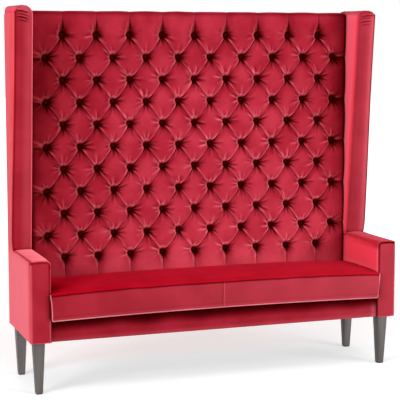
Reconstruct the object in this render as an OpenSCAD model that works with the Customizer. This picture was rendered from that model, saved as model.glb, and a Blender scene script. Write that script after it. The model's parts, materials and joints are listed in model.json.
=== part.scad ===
// High back settee: a narrow bench sofa on four tapered legs, with low track arms,
// slim wings that lean forward as they rise, and a tall deep-buttoned back.
// Millimetres. +X is the sitter's left seen from the front, +Y goes to the back and +Z up.
// The origin is on the floor, under the middle of the whole settee.

/* [Whole settee] */
// Width over the outsides of the arms
overall_w = 1800; // [1400:10:2200]
// Depth from the front of the seat cushion to the outer back
overall_d = 500; // [460:5:600]
// Height of the top of the wings above the floor
overall_h = 1735; // [1500:5:1900]
// Height of the lower edge of the upholstery above the floor
body_z = 242; // [180:1:280]

/* [Arms] */
// Thickness of an arm, and of the wing that stands on it
arm_w = 87; // [80:1:110]
// Height of the top of an arm above the floor
arm_h = 612; // [570:1:680]
// How far the arm fronts stand behind the front of the cushion
seat_proud = 20; // [10:1:35]
// Radius of the inner top corner of an arm
arm_corner_r = 14; // [6:1:16]
// Padding on top of an arm
arm_top_pad = 17; // [12:1:25]
// Padding on the inner sides of the arms and wings
inner_pad = 19; // [18:1:24]

/* [Wings] */
// Depth of a wing where it meets the arm
wing_d_low = 127; // [115:1:150]
// Depth of a wing at its top
wing_d_top = 244; // [180:1:280]
// Rise of the rounded top of a wing above its outer seam
wing_crown = 28; // [15:1:35]
// Radius of the inner front edge of a wing
wing_edge_r = 16; // [6:1:18]
// Padding in front of the wing post
wing_front_pad = 16; // [12:1:24]

/* [Buttoned back] */
// How far the top edge of the back lies below the top of the wings
back_drop = 20; // [10:1:60]
// Distance from the outer back to the highest point of a tuft
back_t = 108; // [100:1:125]
// Rows of buttons, the odd ones with one button more
button_rows = 11; // [7:2:13]
// Buttons in the top row
button_cols = 9; // [6:1:12]
// Distance of the top row of buttons below the top edge
top_margin = 110; // [90:1:130]
// Distance of the bottom row of buttons above the seat deck
bottom_margin = 216; // [180:1:240]
// Depth of a button pocket below the tufts
pocket_d = 30; // [18:1:32]
// Depth of a pleat half way between two buttons
pleat_d = 12; // [5:1:16]
// Radius of a covered button
button_r = 10; // [7:0.5:12]
// Thickness of a covered button
button_t = 5; // [3:0.5:7]

/* [Seat] */
// Height of the front top seam of the cushion above the floor
seat_h = 466; // [440:1:490]
// Height of the cushion's front band
cushion_band = 118; // [100:1:130]
// Rise of the cushion's top above its seams
cushion_crown = 17; // [8:1:24]
// Depth of the centre seam of the cushion
seam_d = 4; // [2:0.5:6]
// Radius of the piping round the front band
piping_r = 3; // [2:0.25:4]
// Setback of the front rail behind the arm fronts
rail_setback = 20; // [12:1:30]
// Padding and cover on the front rail
rail_pad = 12; // [8:1:16]

/* [Wooden frame] */
// Thickness of the hardwood boards
board_t = 28; // [22:1:30]
// Height of the back rails and width of the uprights' faces
back_rail_h = 60; // [45:1:70]
// Height of the two cross rails under the springs
cross_rail_h = 55; // [40:1:60]
// Length of the corner blocks' sides
block_l = 70; // [50:1:90]
// Height of the corner blocks
block_h = 40; // [30:1:60]
// Thickness of the hardboard inside the arms and wings
panel_t = 5; // [3:0.5:6]
// Thickness of the plywood that carries the button ties
tuft_board_t = 5; // [4:0.5:8]
// Thickness of the foam slab behind the tufts
slab_t = 30; // [24:1:32]
// Padding on top of the back
back_top_pad = 15; // [10:1:20]

/* [Springs and deck] */
// Number of sinuous springs
spring_n = 9; // [6:1:12]
// Width of one spring's zigzag
spring_w = 52; // [46:1:60]
// Distance between two cross runs of a spring, to the nearest that fills the seat evenly
spring_run_gap = 31; // [24:1:34]
// Radius of the spring wire
wire_r = 1.9; // [1.5:0.1:2.1]
// Thickness of the felt deck on the springs
deck_t = 4; // [3:0.5:6]

/* [Legs] */
// Width of a leg at its top
leg_top_w = 52; // [44:1:58]
// Width of a leg at its foot
leg_foot_w = 31; // [26:1:40]
// Distance of a leg's centre from the outside of the arm
leg_side_inset = 45; // [40:1:50]
// Distance of a front leg's centre behind the arm front
leg_front_inset = 65; // [62:1:90]
// Distance of a rear leg's centre before the outer back
leg_rear_inset = 43; // [43:1:70]
// Thickness of the plastic glides
glide_t = 5; // [3:0.5:8]
// Radius of the hanger bolts
bolt_r = 4; // [3:0.5:5]

/* [Covers] */
// Thickness of the velvet with its backing on the outsides
cover_t = 3; // [2:0.5:4]
// Thickness of the black cloth under the seat
dust_t = 1.5; // [1:0.25:2]

/* [Hidden] */

// Colours of the finishes
velvet = "crimson";
dark_velvet = "firebrick";
dark_wood = "dimgray";
hardwood = "burlywood";
hardboard = "peru";
foam = "khaki";
felt = "lightgray";
steel = "silver";
black = "black";

// Gap kept round soft pieces
soft_gap = 0.3;
// Radial clearance of a bolt in wood, and of a wire in its clip
bolt_gap = 0.1;
wire_gap = 0.2;
// Wall of the rolled eye of a spring clip, and how much shorter the eye is than the run in it
clip_wall = 1.4;
clip_margin = 4;
// How far cutting tools reach past what they cut
cut = 1;
// Curve quality of round rods
rod_fn = 32;
// Steps of a half-circle bend in spring wire, and sides of the wire there
bend_steps = 4;
wire_sides = 6;

// Main planes from front to back
half_w = overall_w / 2;
front_y = -overall_d / 2;
back_y = overall_d / 2;
arm_front_y = front_y + seat_proud;
post_front_y = arm_front_y + rail_setback;
inner_back_y = back_y - cover_t;
back_frame_y = inner_back_y - board_t;
tuft_board_y = back_frame_y - tuft_board_t;
slab_y = tuft_board_y - slab_t;
crest_y = back_y - back_t;
front_rail_y = post_front_y + rail_pad;
back_seat_rail_y = tuft_board_y - board_t - cover_t;
arm_post_back_y = post_front_y + board_t;

// Main planes from the middle outwards
inner_x = half_w - arm_w;
panel_x = inner_x + inner_pad;
side_frame_x = panel_x + panel_t;
outer_frame_x = half_w - cover_t;
side_frame_w = outer_frame_x - side_frame_x;

// Main levels
frame_z = body_z + dust_t;
clip_r = wire_r + wire_gap + clip_wall;
cushion_z = seat_h - cushion_band;
deck_z = cushion_z - deck_t;
rail_top_z = deck_z - 2 * clip_r;
arm_rail_top_z = arm_h - arm_top_pad;
arm_rail_z = arm_rail_top_z - board_t;
wing_seam_z = overall_h - wing_crown;
wing_rail_top_z = wing_seam_z - cover_t;
wing_rail_z = wing_rail_top_z - board_t;
back_h = overall_h - back_drop;
back_rail_top_z = back_h - back_top_pad;
back_pad_z = cushion_z + soft_gap;

// Front face of a wing at any height
wing_low_y = back_y - wing_d_low;
wing_top_y = back_y - wing_d_top;
wing_lean = (wing_low_y - wing_top_y) / (wing_seam_z - arm_h);
function wing_front_y(z) = wing_low_y - wing_lean * max(z - arm_h, 0);

// Button lattice: u counts buttons across, v counts rows down from the top one
pitch_w = 2 * inner_x / (button_cols + 1);
top_row_z = back_h - top_margin;
bottom_row_z = cushion_z + bottom_margin;
row_h = (top_row_z - bottom_row_z) / (button_rows - 1);
middle_u = (button_cols + 1) / 2;
function button_x(u) = (u - middle_u) * pitch_w;
function button_z(v) = top_row_z - v * row_h;
button_spots = [
    for (v = [0:button_rows - 1])
        for (u = [1 - (v % 2) / 2:button_cols + (v % 2) / 2])
            [button_x(u), button_z(v)]
];

// Depth of the tufted surface below its crests. The pleats run along the diagonals of the
// lattice, straight up from the top row, straight down from the bottom one and sideways
// from the end buttons, because u and v are held inside the outer buttons there.
function clamped(a, low, high) = min(max(a, low), high);
function tuft_depth(u, v) =
    let (
        uc = clamped(u, 0.5, button_cols + 0.5),
        vc = clamped(v, 0, button_rows - 1),
        p = 180 * (uc + vc / 2),
        q = 180 * (uc - vc / 2),
        far = max(abs(u - uc) * 2, abs(v - vc)),
        crown = sqrt(abs(sin(p) * sin(q))),
        pocket = pow(cos(p) * cos(q), 4) * pow(max(1 - far, 0), 2)
    )
    pleat_d * (1 - crown) * max(1 - far / 2, 0) + (pocket_d - pleat_d) * pocket;

// A button rests on the slopes of its pocket, the steepest of which runs sideways
pocket_slope = (tuft_depth(middle_u, 0) - tuft_depth(middle_u + 0.25, 0)) / (pitch_w / 4);
button_back_y = crest_y + pocket_d - button_r * max(pocket_slope, 0) - soft_gap;

// Ties of the buttons
tie_r = 1.5;
tie_hole_r = 2.5;
tie_washer_r = 6;
tie_washer_t = 1.5;

// Legs and their bolts
leg_x = half_w - leg_side_inset;
leg_front_y = arm_front_y + leg_front_inset;
leg_rear_y = back_y - leg_rear_inset;
leg_spots = [for (x = [-leg_x, leg_x]) for (y = [leg_front_y, leg_rear_y]) [x, y]];
bolt_depth = 40;
nut_flange_r = 10;
nut_flange_t = 1.6;
nut_barrel_r = bolt_r + 1.2;
nut_barrel_l = 12;
glide_chamfer = 1.5;

// Springs
spring_front_y = front_rail_y + board_t * 2 / 3;
spring_back_y = back_seat_rail_y + board_t / 3;
spring_l = spring_back_y - spring_front_y;
spring_runs = 2 * round(spring_l / spring_run_gap / 2) + 1;
spring_pitch = spring_l / (spring_runs - 1);
spring_bend_r = spring_pitch / 2;
spring_z = rail_top_z + clip_r;
spring_step = 2 * inner_x / spring_n;
spring_run_l = spring_w - 2 * spring_bend_r;
clip_w = spring_run_l - clip_margin;
clip_tab_l = 12;
clip_tab_t = 1.5;

// Seat cushion
cushion_half_w = inner_x - soft_gap;
cushion_back_y = crest_y - soft_gap;
piping_cut = piping_r * 2 + (piping_r + soft_gap) * sqrt(2);
cushion_case_t = 14;
core_gap = soft_gap;
// Shares of the half width at which a cushion section stands, on one side of the middle
section_shares = [0, 0.006, 0.02, 0.08, 0.2, 0.35, 0.5, 0.65, 0.8, 0.9, 0.96];
// Shares of the crown kept at the ends and at the middle seam
end_crown_share = 0.78;

// Mean of some points
function mean(points) = [for (k = [0:2]) [for (p = points) p[k]] * [for (p = points) 1] / len(points)];

// A closed skin through rings of points, each end closed by triangles round its middle
module skin(rings) {
    n = len(rings[0]);
    m = len(rings);
    sides = [
        for (i = [0:m - 2])
            for (j = [0:n - 1])
                let (k = (j + 1) % n)
                each [
                    [i * n + j, (i + 1) * n + j, (i + 1) * n + k],
                    [i * n + j, (i + 1) * n + k, i * n + k]
                ]
    ];
    first_end = [for (j = [0:n - 1]) [m * n, j, (j + 1) % n]];
    last_end = [for (j = [0:n - 1]) [m * n + 1, (m - 1) * n + (j + 1) % n, (m - 1) * n + j]];
    polyhedron(
        points = concat([for (r = rings) each r], [mean(rings[0]), mean(rings[m - 1])]),
        faces = concat(sides, first_end, last_end)
    );
}

// Points of an arc in a plane
function arc(cx, cy, r, from, to, steps) =
    [for (i = [0:steps]) let (a = from + (to - from) * i / steps) [cx + r * cos(a), cy + r * sin(a)]];

// Puts what is drawn on the +X side onto the -X side
module on_left() {
    mirror([1, 0, 0]) children();
}

// A board given by its lowest and highest corners
module board(low, high) {
    translate(low) cube(high - low);
}

// A flat shape drawn in Y and Z, from x1 to x2
module side_plate(x1, x2) {
    translate([x1, 0, 0]) rotate([90, 0, 90]) linear_extrude(height = x2 - x1) children();
}

// A flat shape drawn in X and Z, from y1 to y2
module front_plate(y1, y2) {
    translate([0, y2, 0]) rotate([90, 0, 0]) linear_extrude(height = y2 - y1) children();
}

// LEGS

// Square leg that tapers on all four sides, with a blind hole for its hanger bolt
module leg(x, y) {
    color(dark_wood)
        difference() {
            translate([x, y, glide_t])
                rotate([0, 0, 45])
                    cylinder(h = body_z - glide_t, r1 = leg_foot_w / sqrt(2), r2 = leg_top_w / sqrt(2), $fn = 4);
            translate([x, y, body_z - bolt_depth])
                cylinder(h = bolt_depth + cut, r = bolt_r + bolt_gap, $fn = rod_fn);
        }
}

// Square plastic glides, chamfered at the floor
module leg_glides() {
    color(black)
        for (s = leg_spots)
            translate([s[0], s[1], 0])
                rotate([0, 0, 45]) {
                    cylinder(
                        h = glide_chamfer,
                        r1 = (leg_foot_w - 4 * glide_chamfer) / sqrt(2),
                        r2 = (leg_foot_w - 2 * glide_chamfer) / sqrt(2),
                        $fn = 4
                    );
                    translate([0, 0, glide_chamfer])
                        cylinder(
                            h = glide_t - glide_chamfer,
                            r = (leg_foot_w - 2 * glide_chamfer) / sqrt(2),
                            $fn = 4
                        );
                }
}

// Hanger bolts from the legs up through the side rails
module hanger_bolts() {
    color(steel)
        for (s = leg_spots)
            translate([s[0], s[1], body_z - bolt_depth])
                cylinder(h = bolt_depth + dust_t + board_t, r = bolt_r, $fn = rod_fn);
}

// Flanged nuts let into the tops of the side rails
module tee_nuts() {
    color(steel)
        for (s = leg_spots)
            translate([s[0], s[1], frame_z + board_t])
                difference() {
                    union() {
                        cylinder(h = nut_flange_t, r = nut_flange_r, $fn = rod_fn);
                        translate([0, 0, -nut_barrel_l])
                            cylinder(h = nut_barrel_l, r = nut_barrel_r, $fn = rod_fn);
                    }
                    translate([0, 0, -nut_barrel_l - cut])
                        cylinder(h = nut_barrel_l + nut_flange_t + 2 * cut, r = bolt_r + bolt_gap, $fn = rod_fn);
                }
}

// SEAT FRAME

module front_seat_rail() {
    color(hardwood)
        board([-side_frame_x, front_rail_y, frame_z], [side_frame_x, front_rail_y + board_t, rail_top_z]);
}

module back_seat_rail() {
    color(hardwood)
        board([-side_frame_x, back_seat_rail_y, frame_z], [side_frame_x, back_seat_rail_y + board_t, rail_top_z]);
}

module side_seat_rail() {
    color(hardwood)
        board(
            [side_frame_x - board_t, front_rail_y + board_t, frame_z],
            [side_frame_x, back_seat_rail_y, rail_top_z]
        );
}

module seat_cross_rails() {
    color(hardwood)
        for (x = [-side_frame_x / 3, side_frame_x / 3])
            board(
                [x - board_t / 2, front_rail_y + board_t, frame_z],
                [x + board_t / 2, back_seat_rail_y, frame_z + cross_rail_h]
            );
}

// Triangular blocks glued into the corners of the seat frame
module corner_blocks() {
    x = side_frame_x - board_t;
    y1 = front_rail_y + board_t;
    y2 = back_seat_rail_y;
    color(hardwood)
        for (corner = [[x, y1, 1], [x, y2, -1], [-x, y1, 1], [-x, y2, -1]])
            translate([0, 0, frame_z])
                linear_extrude(height = block_h)
                    polygon([
                        [corner[0], corner[1]],
                        [corner[0] - sign(corner[0]) * block_l, corner[1]],
                        [corner[0], corner[1] + corner[2] * block_l]
                    ]);
}

// Route of one zigzag spring: each run goes across, and a half circle leads to the next.
// Every entry is a point and the direction of the wire there.
spring_route = [
    for (i = [0:spring_runs - 1])
        let (
            side = i % 2 == 0 ? 1 : -1,
            x = side * spring_run_l / 2,
            y = spring_front_y + i * spring_pitch
        )
        each concat(
            i == 0 ? [[-x, y, side, 0]] : [],
            i == spring_runs - 1
                ? [[x, y, side, 0]]
                : [
                    for (k = [0:bend_steps])
                        let (a = 180 * k / bend_steps)
                        [
                            x + side * spring_bend_r * sin(a),
                            y + spring_bend_r * (1 - cos(a)),
                            side * cos(a),
                            sin(a)
                        ]
                ]
        )
];

// Rings of the wire round its route
spring_rings = [
    for (s = spring_route)
        [
            for (k = [0:wire_sides - 1])
                let (a = 360 * k / wire_sides)
                [s[0] - s[3] * wire_r * cos(a), s[1] + s[2] * wire_r * cos(a), spring_z + wire_r * sin(a)]
        ]
];

module at_each_spring() {
    for (i = [0:spring_n - 1])
        translate([(i + 0.5) * spring_step - inner_x, 0, 0])
            children();
}

module sinuous_springs() {
    color(steel) at_each_spring() skin(spring_rings);
}

// One rolled clip with its nailing tab; way is 1 for a tab that points to the back
module spring_clip(y, way) {
    translate([-clip_w / 2, y, spring_z])
        difference() {
            union() {
                rotate([0, 90, 0]) cylinder(h = clip_w, r = clip_r, $fn = rod_fn);
                translate([0, min(0, way * clip_tab_l), -clip_r]) cube([clip_w, clip_tab_l, clip_tab_t]);
            }
            translate([-cut, 0, 0])
                rotate([0, 90, 0])
                    cylinder(h = clip_w + 2 * cut, r = wire_r + wire_gap, $fn = rod_fn);
        }
}

module spring_clips() {
    color(steel)
        at_each_spring() {
            spring_clip(spring_front_y, -1);
            spring_clip(spring_back_y, 1);
        }
}

// Felt deck stretched over the springs
module seat_deck() {
    color(felt)
        board([-inner_x, front_rail_y, deck_z], [inner_x, tuft_board_y, cushion_z]);
}

// SIDE FRAMES, drawn on the +X side

// Flat bottom rail that the leg bolts pass through
module side_bottom_rail() {
    color(hardwood)
        difference() {
            board([side_frame_x, post_front_y, frame_z], [outer_frame_x, inner_back_y, frame_z + board_t]);
            for (y = [leg_front_y, leg_rear_y])
                translate([leg_x, y, frame_z - cut])
                    cylinder(h = board_t + 2 * cut, r = nut_barrel_r + bolt_gap, $fn = rod_fn);
        }
}

module arm_front_post() {
    color(hardwood)
        board([side_frame_x, post_front_y, frame_z + board_t], [outer_frame_x, arm_post_back_y, arm_rail_top_z]);
}

module arm_top_rail() {
    color(hardwood)
        board([side_frame_x, arm_post_back_y, arm_rail_z], [outer_frame_x, back_frame_y, arm_rail_top_z]);
}

module rear_post() {
    color(hardwood)
        board([side_frame_x, back_frame_y, frame_z + board_t], [outer_frame_x, inner_back_y, wing_rail_top_z]);
}

// Wing post, upright as far as the arm pad is high and leaning from there
module wing_post() {
    pad = wing_front_pad;
    color(hardwood)
        side_plate(side_frame_x, outer_frame_x)
            polygon([
                [wing_low_y + pad, arm_rail_top_z],
                [wing_low_y + pad + board_t, arm_rail_top_z],
                [wing_low_y + pad + board_t, arm_h],
                [wing_front_y(wing_rail_z) + pad + board_t, wing_rail_z],
                [wing_front_y(wing_rail_z) + pad, wing_rail_z],
                [wing_low_y + pad, arm_h]
            ]);
}

module wing_top_rail() {
    color(hardwood)
        side_plate(side_frame_x, outer_frame_x)
            polygon([
                [wing_front_y(wing_rail_z) + wing_front_pad, wing_rail_z],
                [back_frame_y, wing_rail_z],
                [back_frame_y, wing_rail_top_z],
                [wing_front_y(wing_rail_top_z) + wing_front_pad, wing_rail_top_z]
            ]);
}

// Hardboard on the inner side of an arm
module arm_inner_panel() {
    color(hardboard)
        board([panel_x, post_front_y, rail_top_z], [side_frame_x, back_frame_y, arm_rail_top_z]);
}

// Hardboard on the inner side of a wing
module wing_inner_panel() {
    color(hardboard)
        side_plate(panel_x, side_frame_x)
            polygon([
                [wing_low_y + wing_front_pad, arm_rail_top_z],
                [back_frame_y, arm_rail_top_z],
                [back_frame_y, wing_rail_top_z],
                [wing_front_y(wing_rail_top_z) + wing_front_pad, wing_rail_top_z],
                [wing_low_y + wing_front_pad, arm_h]
            ]);
}

// BACK FRAME

// A rail of the back, from its lower edge
module back_rail(z) {
    color(hardwood)
        board([-side_frame_x, back_frame_y, z], [side_frame_x, inner_back_y, z + back_rail_h]);
}

// The middle rail lies half way between two rows of buttons, clear of their ties
middle_row = floor(button_rows / 2);
middle_rail_z = button_z(middle_row) - row_h / 2 - back_rail_h / 2;
lower_rail_z = cushion_z;
top_rail_z = back_rail_top_z - back_rail_h;
// The uprights stand a quarter pitch beside a column of buttons, clear of the ties
upright_x = pitch_w * (floor(button_cols / 3) + 0.25);
upright_w = pitch_w / 4;

module back_uprights() {
    color(hardwood)
        for (x = [-upright_x, upright_x])
            for (span = [[lower_rail_z, middle_rail_z], [middle_rail_z, top_rail_z]])
                board(
                    [x - upright_w / 2, back_frame_y, span[0] + back_rail_h],
                    [x + upright_w / 2, inner_back_y, span[1]]
                );
}

// Holes for the ties of the buttons, from y1 to y2
module tie_holes(y1, y2) {
    for (s = button_spots)
        translate([s[0], y2 + cut, s[1]])
            rotate([90, 0, 0])
                cylinder(h = y2 - y1 + 2 * cut, r = tie_hole_r, $fn = rod_fn);
}

module tufting_board() {
    color(hardboard)
        difference() {
            board(
                [-inner_x, tuft_board_y, cushion_z],
                [inner_x, back_frame_y, back_rail_top_z]
            );
            tie_holes(tuft_board_y, back_frame_y);
        }
}

// Twine through the foam and the board, knotted over a washer behind the board
module button_ties() {
    color(felt)
        for (s = button_spots)
            translate([s[0], back_frame_y, s[1]])
                rotate([90, 0, 0]) {
                    cylinder(h = back_frame_y - slab_y, r = tie_r, $fn = rod_fn);
                    translate([0, 0, -tie_washer_t]) cylinder(h = tie_washer_t, r = tie_washer_r, $fn = rod_fn);
                }
}

module back_foam_slab() {
    color(foam)
        difference() {
            board(
                [-inner_x + soft_gap, slab_y, back_pad_z],
                [inner_x - soft_gap, tuft_board_y, back_rail_top_z]
            );
            tie_holes(slab_y, tuft_board_y);
        }
}

// Velvet and wadding drawn down to the buttons: a grid whose lines pass through every
// button and along every pleat, closed by a flat back
tuft_nx = 4 * (button_cols + 1);
tuft_lower_steps = 2;
tuft_upper_steps = 2;
tuft_levels = concat(
    [for (i = [0:tuft_lower_steps - 1]) back_pad_z + (bottom_row_z - back_pad_z) * i / tuft_lower_steps],
    [for (i = [0:2 * (button_rows - 1)]) bottom_row_z + row_h * i / 2],
    [for (i = [1:tuft_upper_steps]) top_row_z + top_margin * i / tuft_upper_steps]
);
tuft_nz = len(tuft_levels) - 1;
tuft_half_w = inner_x - soft_gap;
// Rounding of the tufted cover along its top edge and where it meets the wings
tuft_edge_drop = 12;

function tuft_point(i, j) =
    let (
        u = i / 4,
        z = tuft_levels[j],
        v = (top_row_z - z) / row_h,
        edge = (i == 0 || i == tuft_nx || j == tuft_nz) ? tuft_edge_drop : 0
    )
    [
        clamped(button_x(u), -tuft_half_w, tuft_half_w),
        crest_y + tuft_depth(u, v) + edge,
        z
    ];

module tufted_back() {
    nx = tuft_nx + 1;
    nz = tuft_nz + 1;
    front = [for (j = [0:tuft_nz]) for (i = [0:tuft_nx]) tuft_point(i, j)];
    // Order of the border points: along the bottom, up the +X side, back along the top and down
    border = concat(
        [for (i = [0:tuft_nx]) i],
        [for (j = [1:tuft_nz]) j * nx + tuft_nx],
        [for (i = [1:tuft_nx]) tuft_nz * nx + tuft_nx - i],
        [for (j = [1:tuft_nz - 1]) (tuft_nz - j) * nx]
    );
    nb = len(border);
    flat = [for (k = border) [front[k][0], slab_y, front[k][2]]];
    middle = [[0, slab_y, (back_pad_z + back_h) / 2]];
    first_flat = nx * nz;
    middle_point = first_flat + nb;
    // Each cell is cut along the pleat that crosses it
    cells = [
        for (j = [0:tuft_nz - 1])
            for (i = [0:tuft_nx - 1])
                let (
                    a = j * nx + i,
                    b = a + 1,
                    c = a + nx + 1,
                    d = a + nx,
                    row = j - tuft_lower_steps,
                    rising = (i + row) % 2 == 0
                )
                each (rising ? [[a, b, c], [a, c, d]] : [[a, b, d], [b, c, d]])
    ];
    walls = [
        for (k = [0:nb - 1])
            let (
                a = border[k],
                b = border[(k + 1) % nb],
                c = first_flat + (k + 1) % nb,
                d = first_flat + k
            )
            each [[a, d, c], [a, c, b]]
    ];
    rear = [for (k = [0:nb - 1]) [first_flat + k, middle_point, first_flat + (k + 1) % nb]];
    color(velvet)
        polyhedron(
            points = concat(front, flat, middle),
            faces = [for (f = concat(cells, walls, rear)) [f[0], f[2], f[1]]]
        );
}

// One covered button: a low dome over a straight rim, facing the front
button_rim_share = 0.4;
button_top_share = 0.5;
module cover_button() {
    rim = button_t * button_rim_share;
    rotate([90, 0, 0]) {
        cylinder(h = rim, r = button_r, $fn = rod_fn);
        translate([0, 0, rim])
            cylinder(h = button_t - rim, r1 = button_r, r2 = button_r * button_top_share, $fn = rod_fn);
    }
}

module cover_buttons() {
    color(dark_velvet)
        for (s = button_spots)
            translate([s[0], button_back_y, s[1]]) cover_button();
}

// Velvet over the top of the back, between the wings
module back_top_band() {
    color(velvet)
        board([-tuft_half_w, slab_y, back_rail_top_z], [tuft_half_w, inner_back_y, back_h]);
}

// UPHOLSTERY OF THE SIDES, drawn on the +X side

// Foam and velvet on the inner side and the top of an arm
module arm_pad() {
    color(velvet) {
        front_plate(post_front_y, wing_low_y)
            polygon(concat(
                [
                    [inner_x, rail_top_z],
                    [panel_x, rail_top_z],
                    [panel_x, arm_rail_top_z],
                    [outer_frame_x, arm_rail_top_z],
                    [outer_frame_x, arm_h]
                ],
                arc(inner_x + arm_corner_r, arm_h - arm_corner_r, arm_corner_r, 90, 180, 8)
            ));
        board([inner_x, wing_low_y, rail_top_z], [panel_x, back_frame_y, arm_rail_top_z]);
    }
}

// Padded panel on the front of an arm
module arm_front_panel() {
    color(velvet)
        front_plate(arm_front_y, post_front_y)
            polygon(concat(
                [[inner_x, body_z], [half_w, body_z], [half_w, arm_h]],
                arc(inner_x + arm_corner_r, arm_h - arm_corner_r, arm_corner_r, 90, 180, 8)
            ));
}

// Section of a wing at one level, drawn in by inset across and by inset_y along
function wing_section(z, inset, inset_y) =
    let (
        x1 = inner_x + inset,
        x2 = outer_frame_x - inset,
        y1 = wing_front_y(z) + inset_y,
        y2 = inner_back_y - inset_y
    )
    [
        for (s = concat([[x2, y2], [x1, y2]], arc(x1 + wing_edge_r, y1 + wing_edge_r, wing_edge_r, 180, 270, 6), [[x2, y1]]))
            [s[0], s[1], z]
    ];

// Angles of the sections that round the top of a wing
wing_top_angles = [0, 22, 44, 66, 90];
wing_round_share = 0.38;
wing_end_round_share = 0.12;
wing_round_x = (arm_w - cover_t) * wing_round_share;
wing_round_y = wing_d_top * wing_end_round_share;

// Foam and velvet round the front, the inner side and the top of a wing, hollow for its
// frame and cut away at the back where the back rails pass
module wing_pad() {
    rings = concat(
        [wing_section(arm_rail_top_z, 0, 0), wing_section(arm_h, 0, 0)],
        [
            for (a = wing_top_angles)
                wing_section(
                    wing_seam_z + wing_crown * sin(a),
                    wing_round_x * (1 - cos(a)),
                    wing_round_y * (1 - cos(a))
                )
        ]
    );
    color(velvet)
        difference() {
            skin(rings);
            side_plate(panel_x, outer_frame_x + cut)
                polygon([
                    [wing_low_y + wing_front_pad, arm_rail_top_z - cut],
                    [back_y, arm_rail_top_z - cut],
                    [back_y, wing_rail_top_z],
                    [wing_front_y(wing_rail_top_z) + wing_front_pad, wing_rail_top_z],
                    [wing_low_y + wing_front_pad, arm_h]
                ]);
            board([inner_x - cut, back_frame_y, arm_rail_top_z - cut], [panel_x + cut, back_y, wing_rail_top_z]);
        }
}

// Velvet on the outside of an arm
module arm_outer_cover() {
    color(velvet)
        board([outer_frame_x, post_front_y, body_z], [half_w, inner_back_y, arm_h]);
}

// Velvet on the outside of a wing, with small round corners at the top
wing_cover_r = 9;
module wing_outer_cover() {
    front_r = wing_front_y(wing_seam_z) + wing_cover_r;
    color(velvet)
        side_plate(outer_frame_x, half_w)
            polygon(concat(
                [[wing_low_y, arm_h], [inner_back_y, arm_h]],
                arc(inner_back_y - wing_cover_r, wing_seam_z - wing_cover_r, wing_cover_r, 0, 90, 4),
                arc(front_r, wing_seam_z - wing_cover_r, wing_cover_r, 90, 180, 4)
            ));
}

// OUTER BACK, FRONT RAIL AND UNDERSIDE

// Plain velvet panel on the back, with round corners behind the wings
back_cover_r = 18;
back_cover_z = back_h - cover_t;
module outer_back_cover() {
    color(velvet)
        front_plate(inner_back_y, back_y)
            polygon(concat(
                [[-half_w, body_z], [half_w, body_z]],
                arc(half_w - back_cover_r, wing_seam_z - back_cover_r, back_cover_r, 0, 90, 6),
                [[inner_x, wing_seam_z], [inner_x, back_cover_z], [-inner_x, back_cover_z], [-inner_x, wing_seam_z]],
                arc(back_cover_r - half_w, wing_seam_z - back_cover_r, back_cover_r, 90, 180, 6)
            ));
}

// Padding and velvet on the front rail, narrower above it where the arm pads stand
module front_rail_cover() {
    color(dark_velvet) {
        board([-side_frame_x, post_front_y, body_z], [side_frame_x, front_rail_y, rail_top_z]);
        board([-inner_x, post_front_y, rail_top_z], [inner_x, front_rail_y, cushion_z]);
    }
}

// Black cloth under the seat, with holes for the leg bolts
module dust_cover() {
    color(black)
        difference() {
            union() {
                board([-side_frame_x, front_rail_y, body_z], [side_frame_x, inner_back_y, frame_z]);
                for (side = [-1, 1])
                    translate([side * (side_frame_x + outer_frame_x) / 2, (post_front_y + inner_back_y) / 2, body_z])
                        translate([-side_frame_w / 2, (post_front_y - inner_back_y) / 2, 0])
                            cube([side_frame_w, inner_back_y - post_front_y, dust_t]);
            }
            for (s = leg_spots)
                translate([s[0], s[1], body_z - cut])
                    cylinder(h = dust_t + 2 * cut, r = bolt_r + bolt_gap, $fn = rod_fn);
        }
}

// SEAT CUSHION

// Outline of the cushion at one place, in Y and Z: a front band that swells forward,
// a crowned top, a back that leans in and a flat bottom
crown_steps = 10;
band_swell_share = 0.25;
function cushion_outline(crown, front_in, drop) =
    let (
        y1 = front_y + front_in,
        y2 = cushion_back_y,
        z1 = cushion_z,
        z2 = seat_h - drop,
        c = piping_cut
    )
    concat(
        [[y2 - c, z1], [(y1 + y2) / 2, z1], [y1 + c, z1]],
        [[y1, z1 + c], [y1, (z1 + z2) / 2], [y1, z2 - c], [y1 + c, z2]],
        [
            for (i = [1:crown_steps - 1])
                let (t = 2 * i / crown_steps - 1)
                [(y1 + c + y2) / 2 + t * (y2 - y1 - c) / 2, z2 + crown * (1 - pow(abs(t), 2.4))]
        ],
        [[y2, z2 - c], [y2, z1 + c]]
    );

// The sections, each with its place, crown, front setback and drop
cushion_sections = [
    for (side = [-1, 1])
        for (k = side < 0 ? [len(section_shares) - 1:-1:1] : [0:len(section_shares) - 1])
            let (
                s = section_shares[k],
                seam = max(1 - s / section_shares[2], 0),
                crown = cushion_crown * (1 - (1 - end_crown_share) * pow(s, 6))
            )
            [side * s * cushion_half_w, crown - seam_d * seam, seam_d * seam / 2, 0]
];

module cushion_ring_stack() {
    end_crown = cushion_crown * end_crown_share;
    near_end = cushion_half_w - piping_cut;
    all = concat(
        [[-cushion_half_w, end_crown * 0.8, piping_cut, piping_cut / 2], [-near_end, end_crown, 0, 0]],
        cushion_sections,
        [[near_end, end_crown, 0, 0], [cushion_half_w, end_crown * 0.8, piping_cut, piping_cut / 2]]
    );
    skin([for (s = all) [for (p = cushion_outline(s[1], s[2], s[3])) [s[0], p[0], p[1]]]]);
}

// Lowest and highest corners of the room for the foam, which opens to the back
core_low = [-cushion_half_w + cushion_case_t, front_y + cushion_case_t, cushion_z + cushion_case_t / 2];
core_high = [cushion_half_w - cushion_case_t, cushion_back_y, seat_h - cushion_case_t / 2];
back_band_y = cushion_back_y - cushion_case_t;

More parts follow.
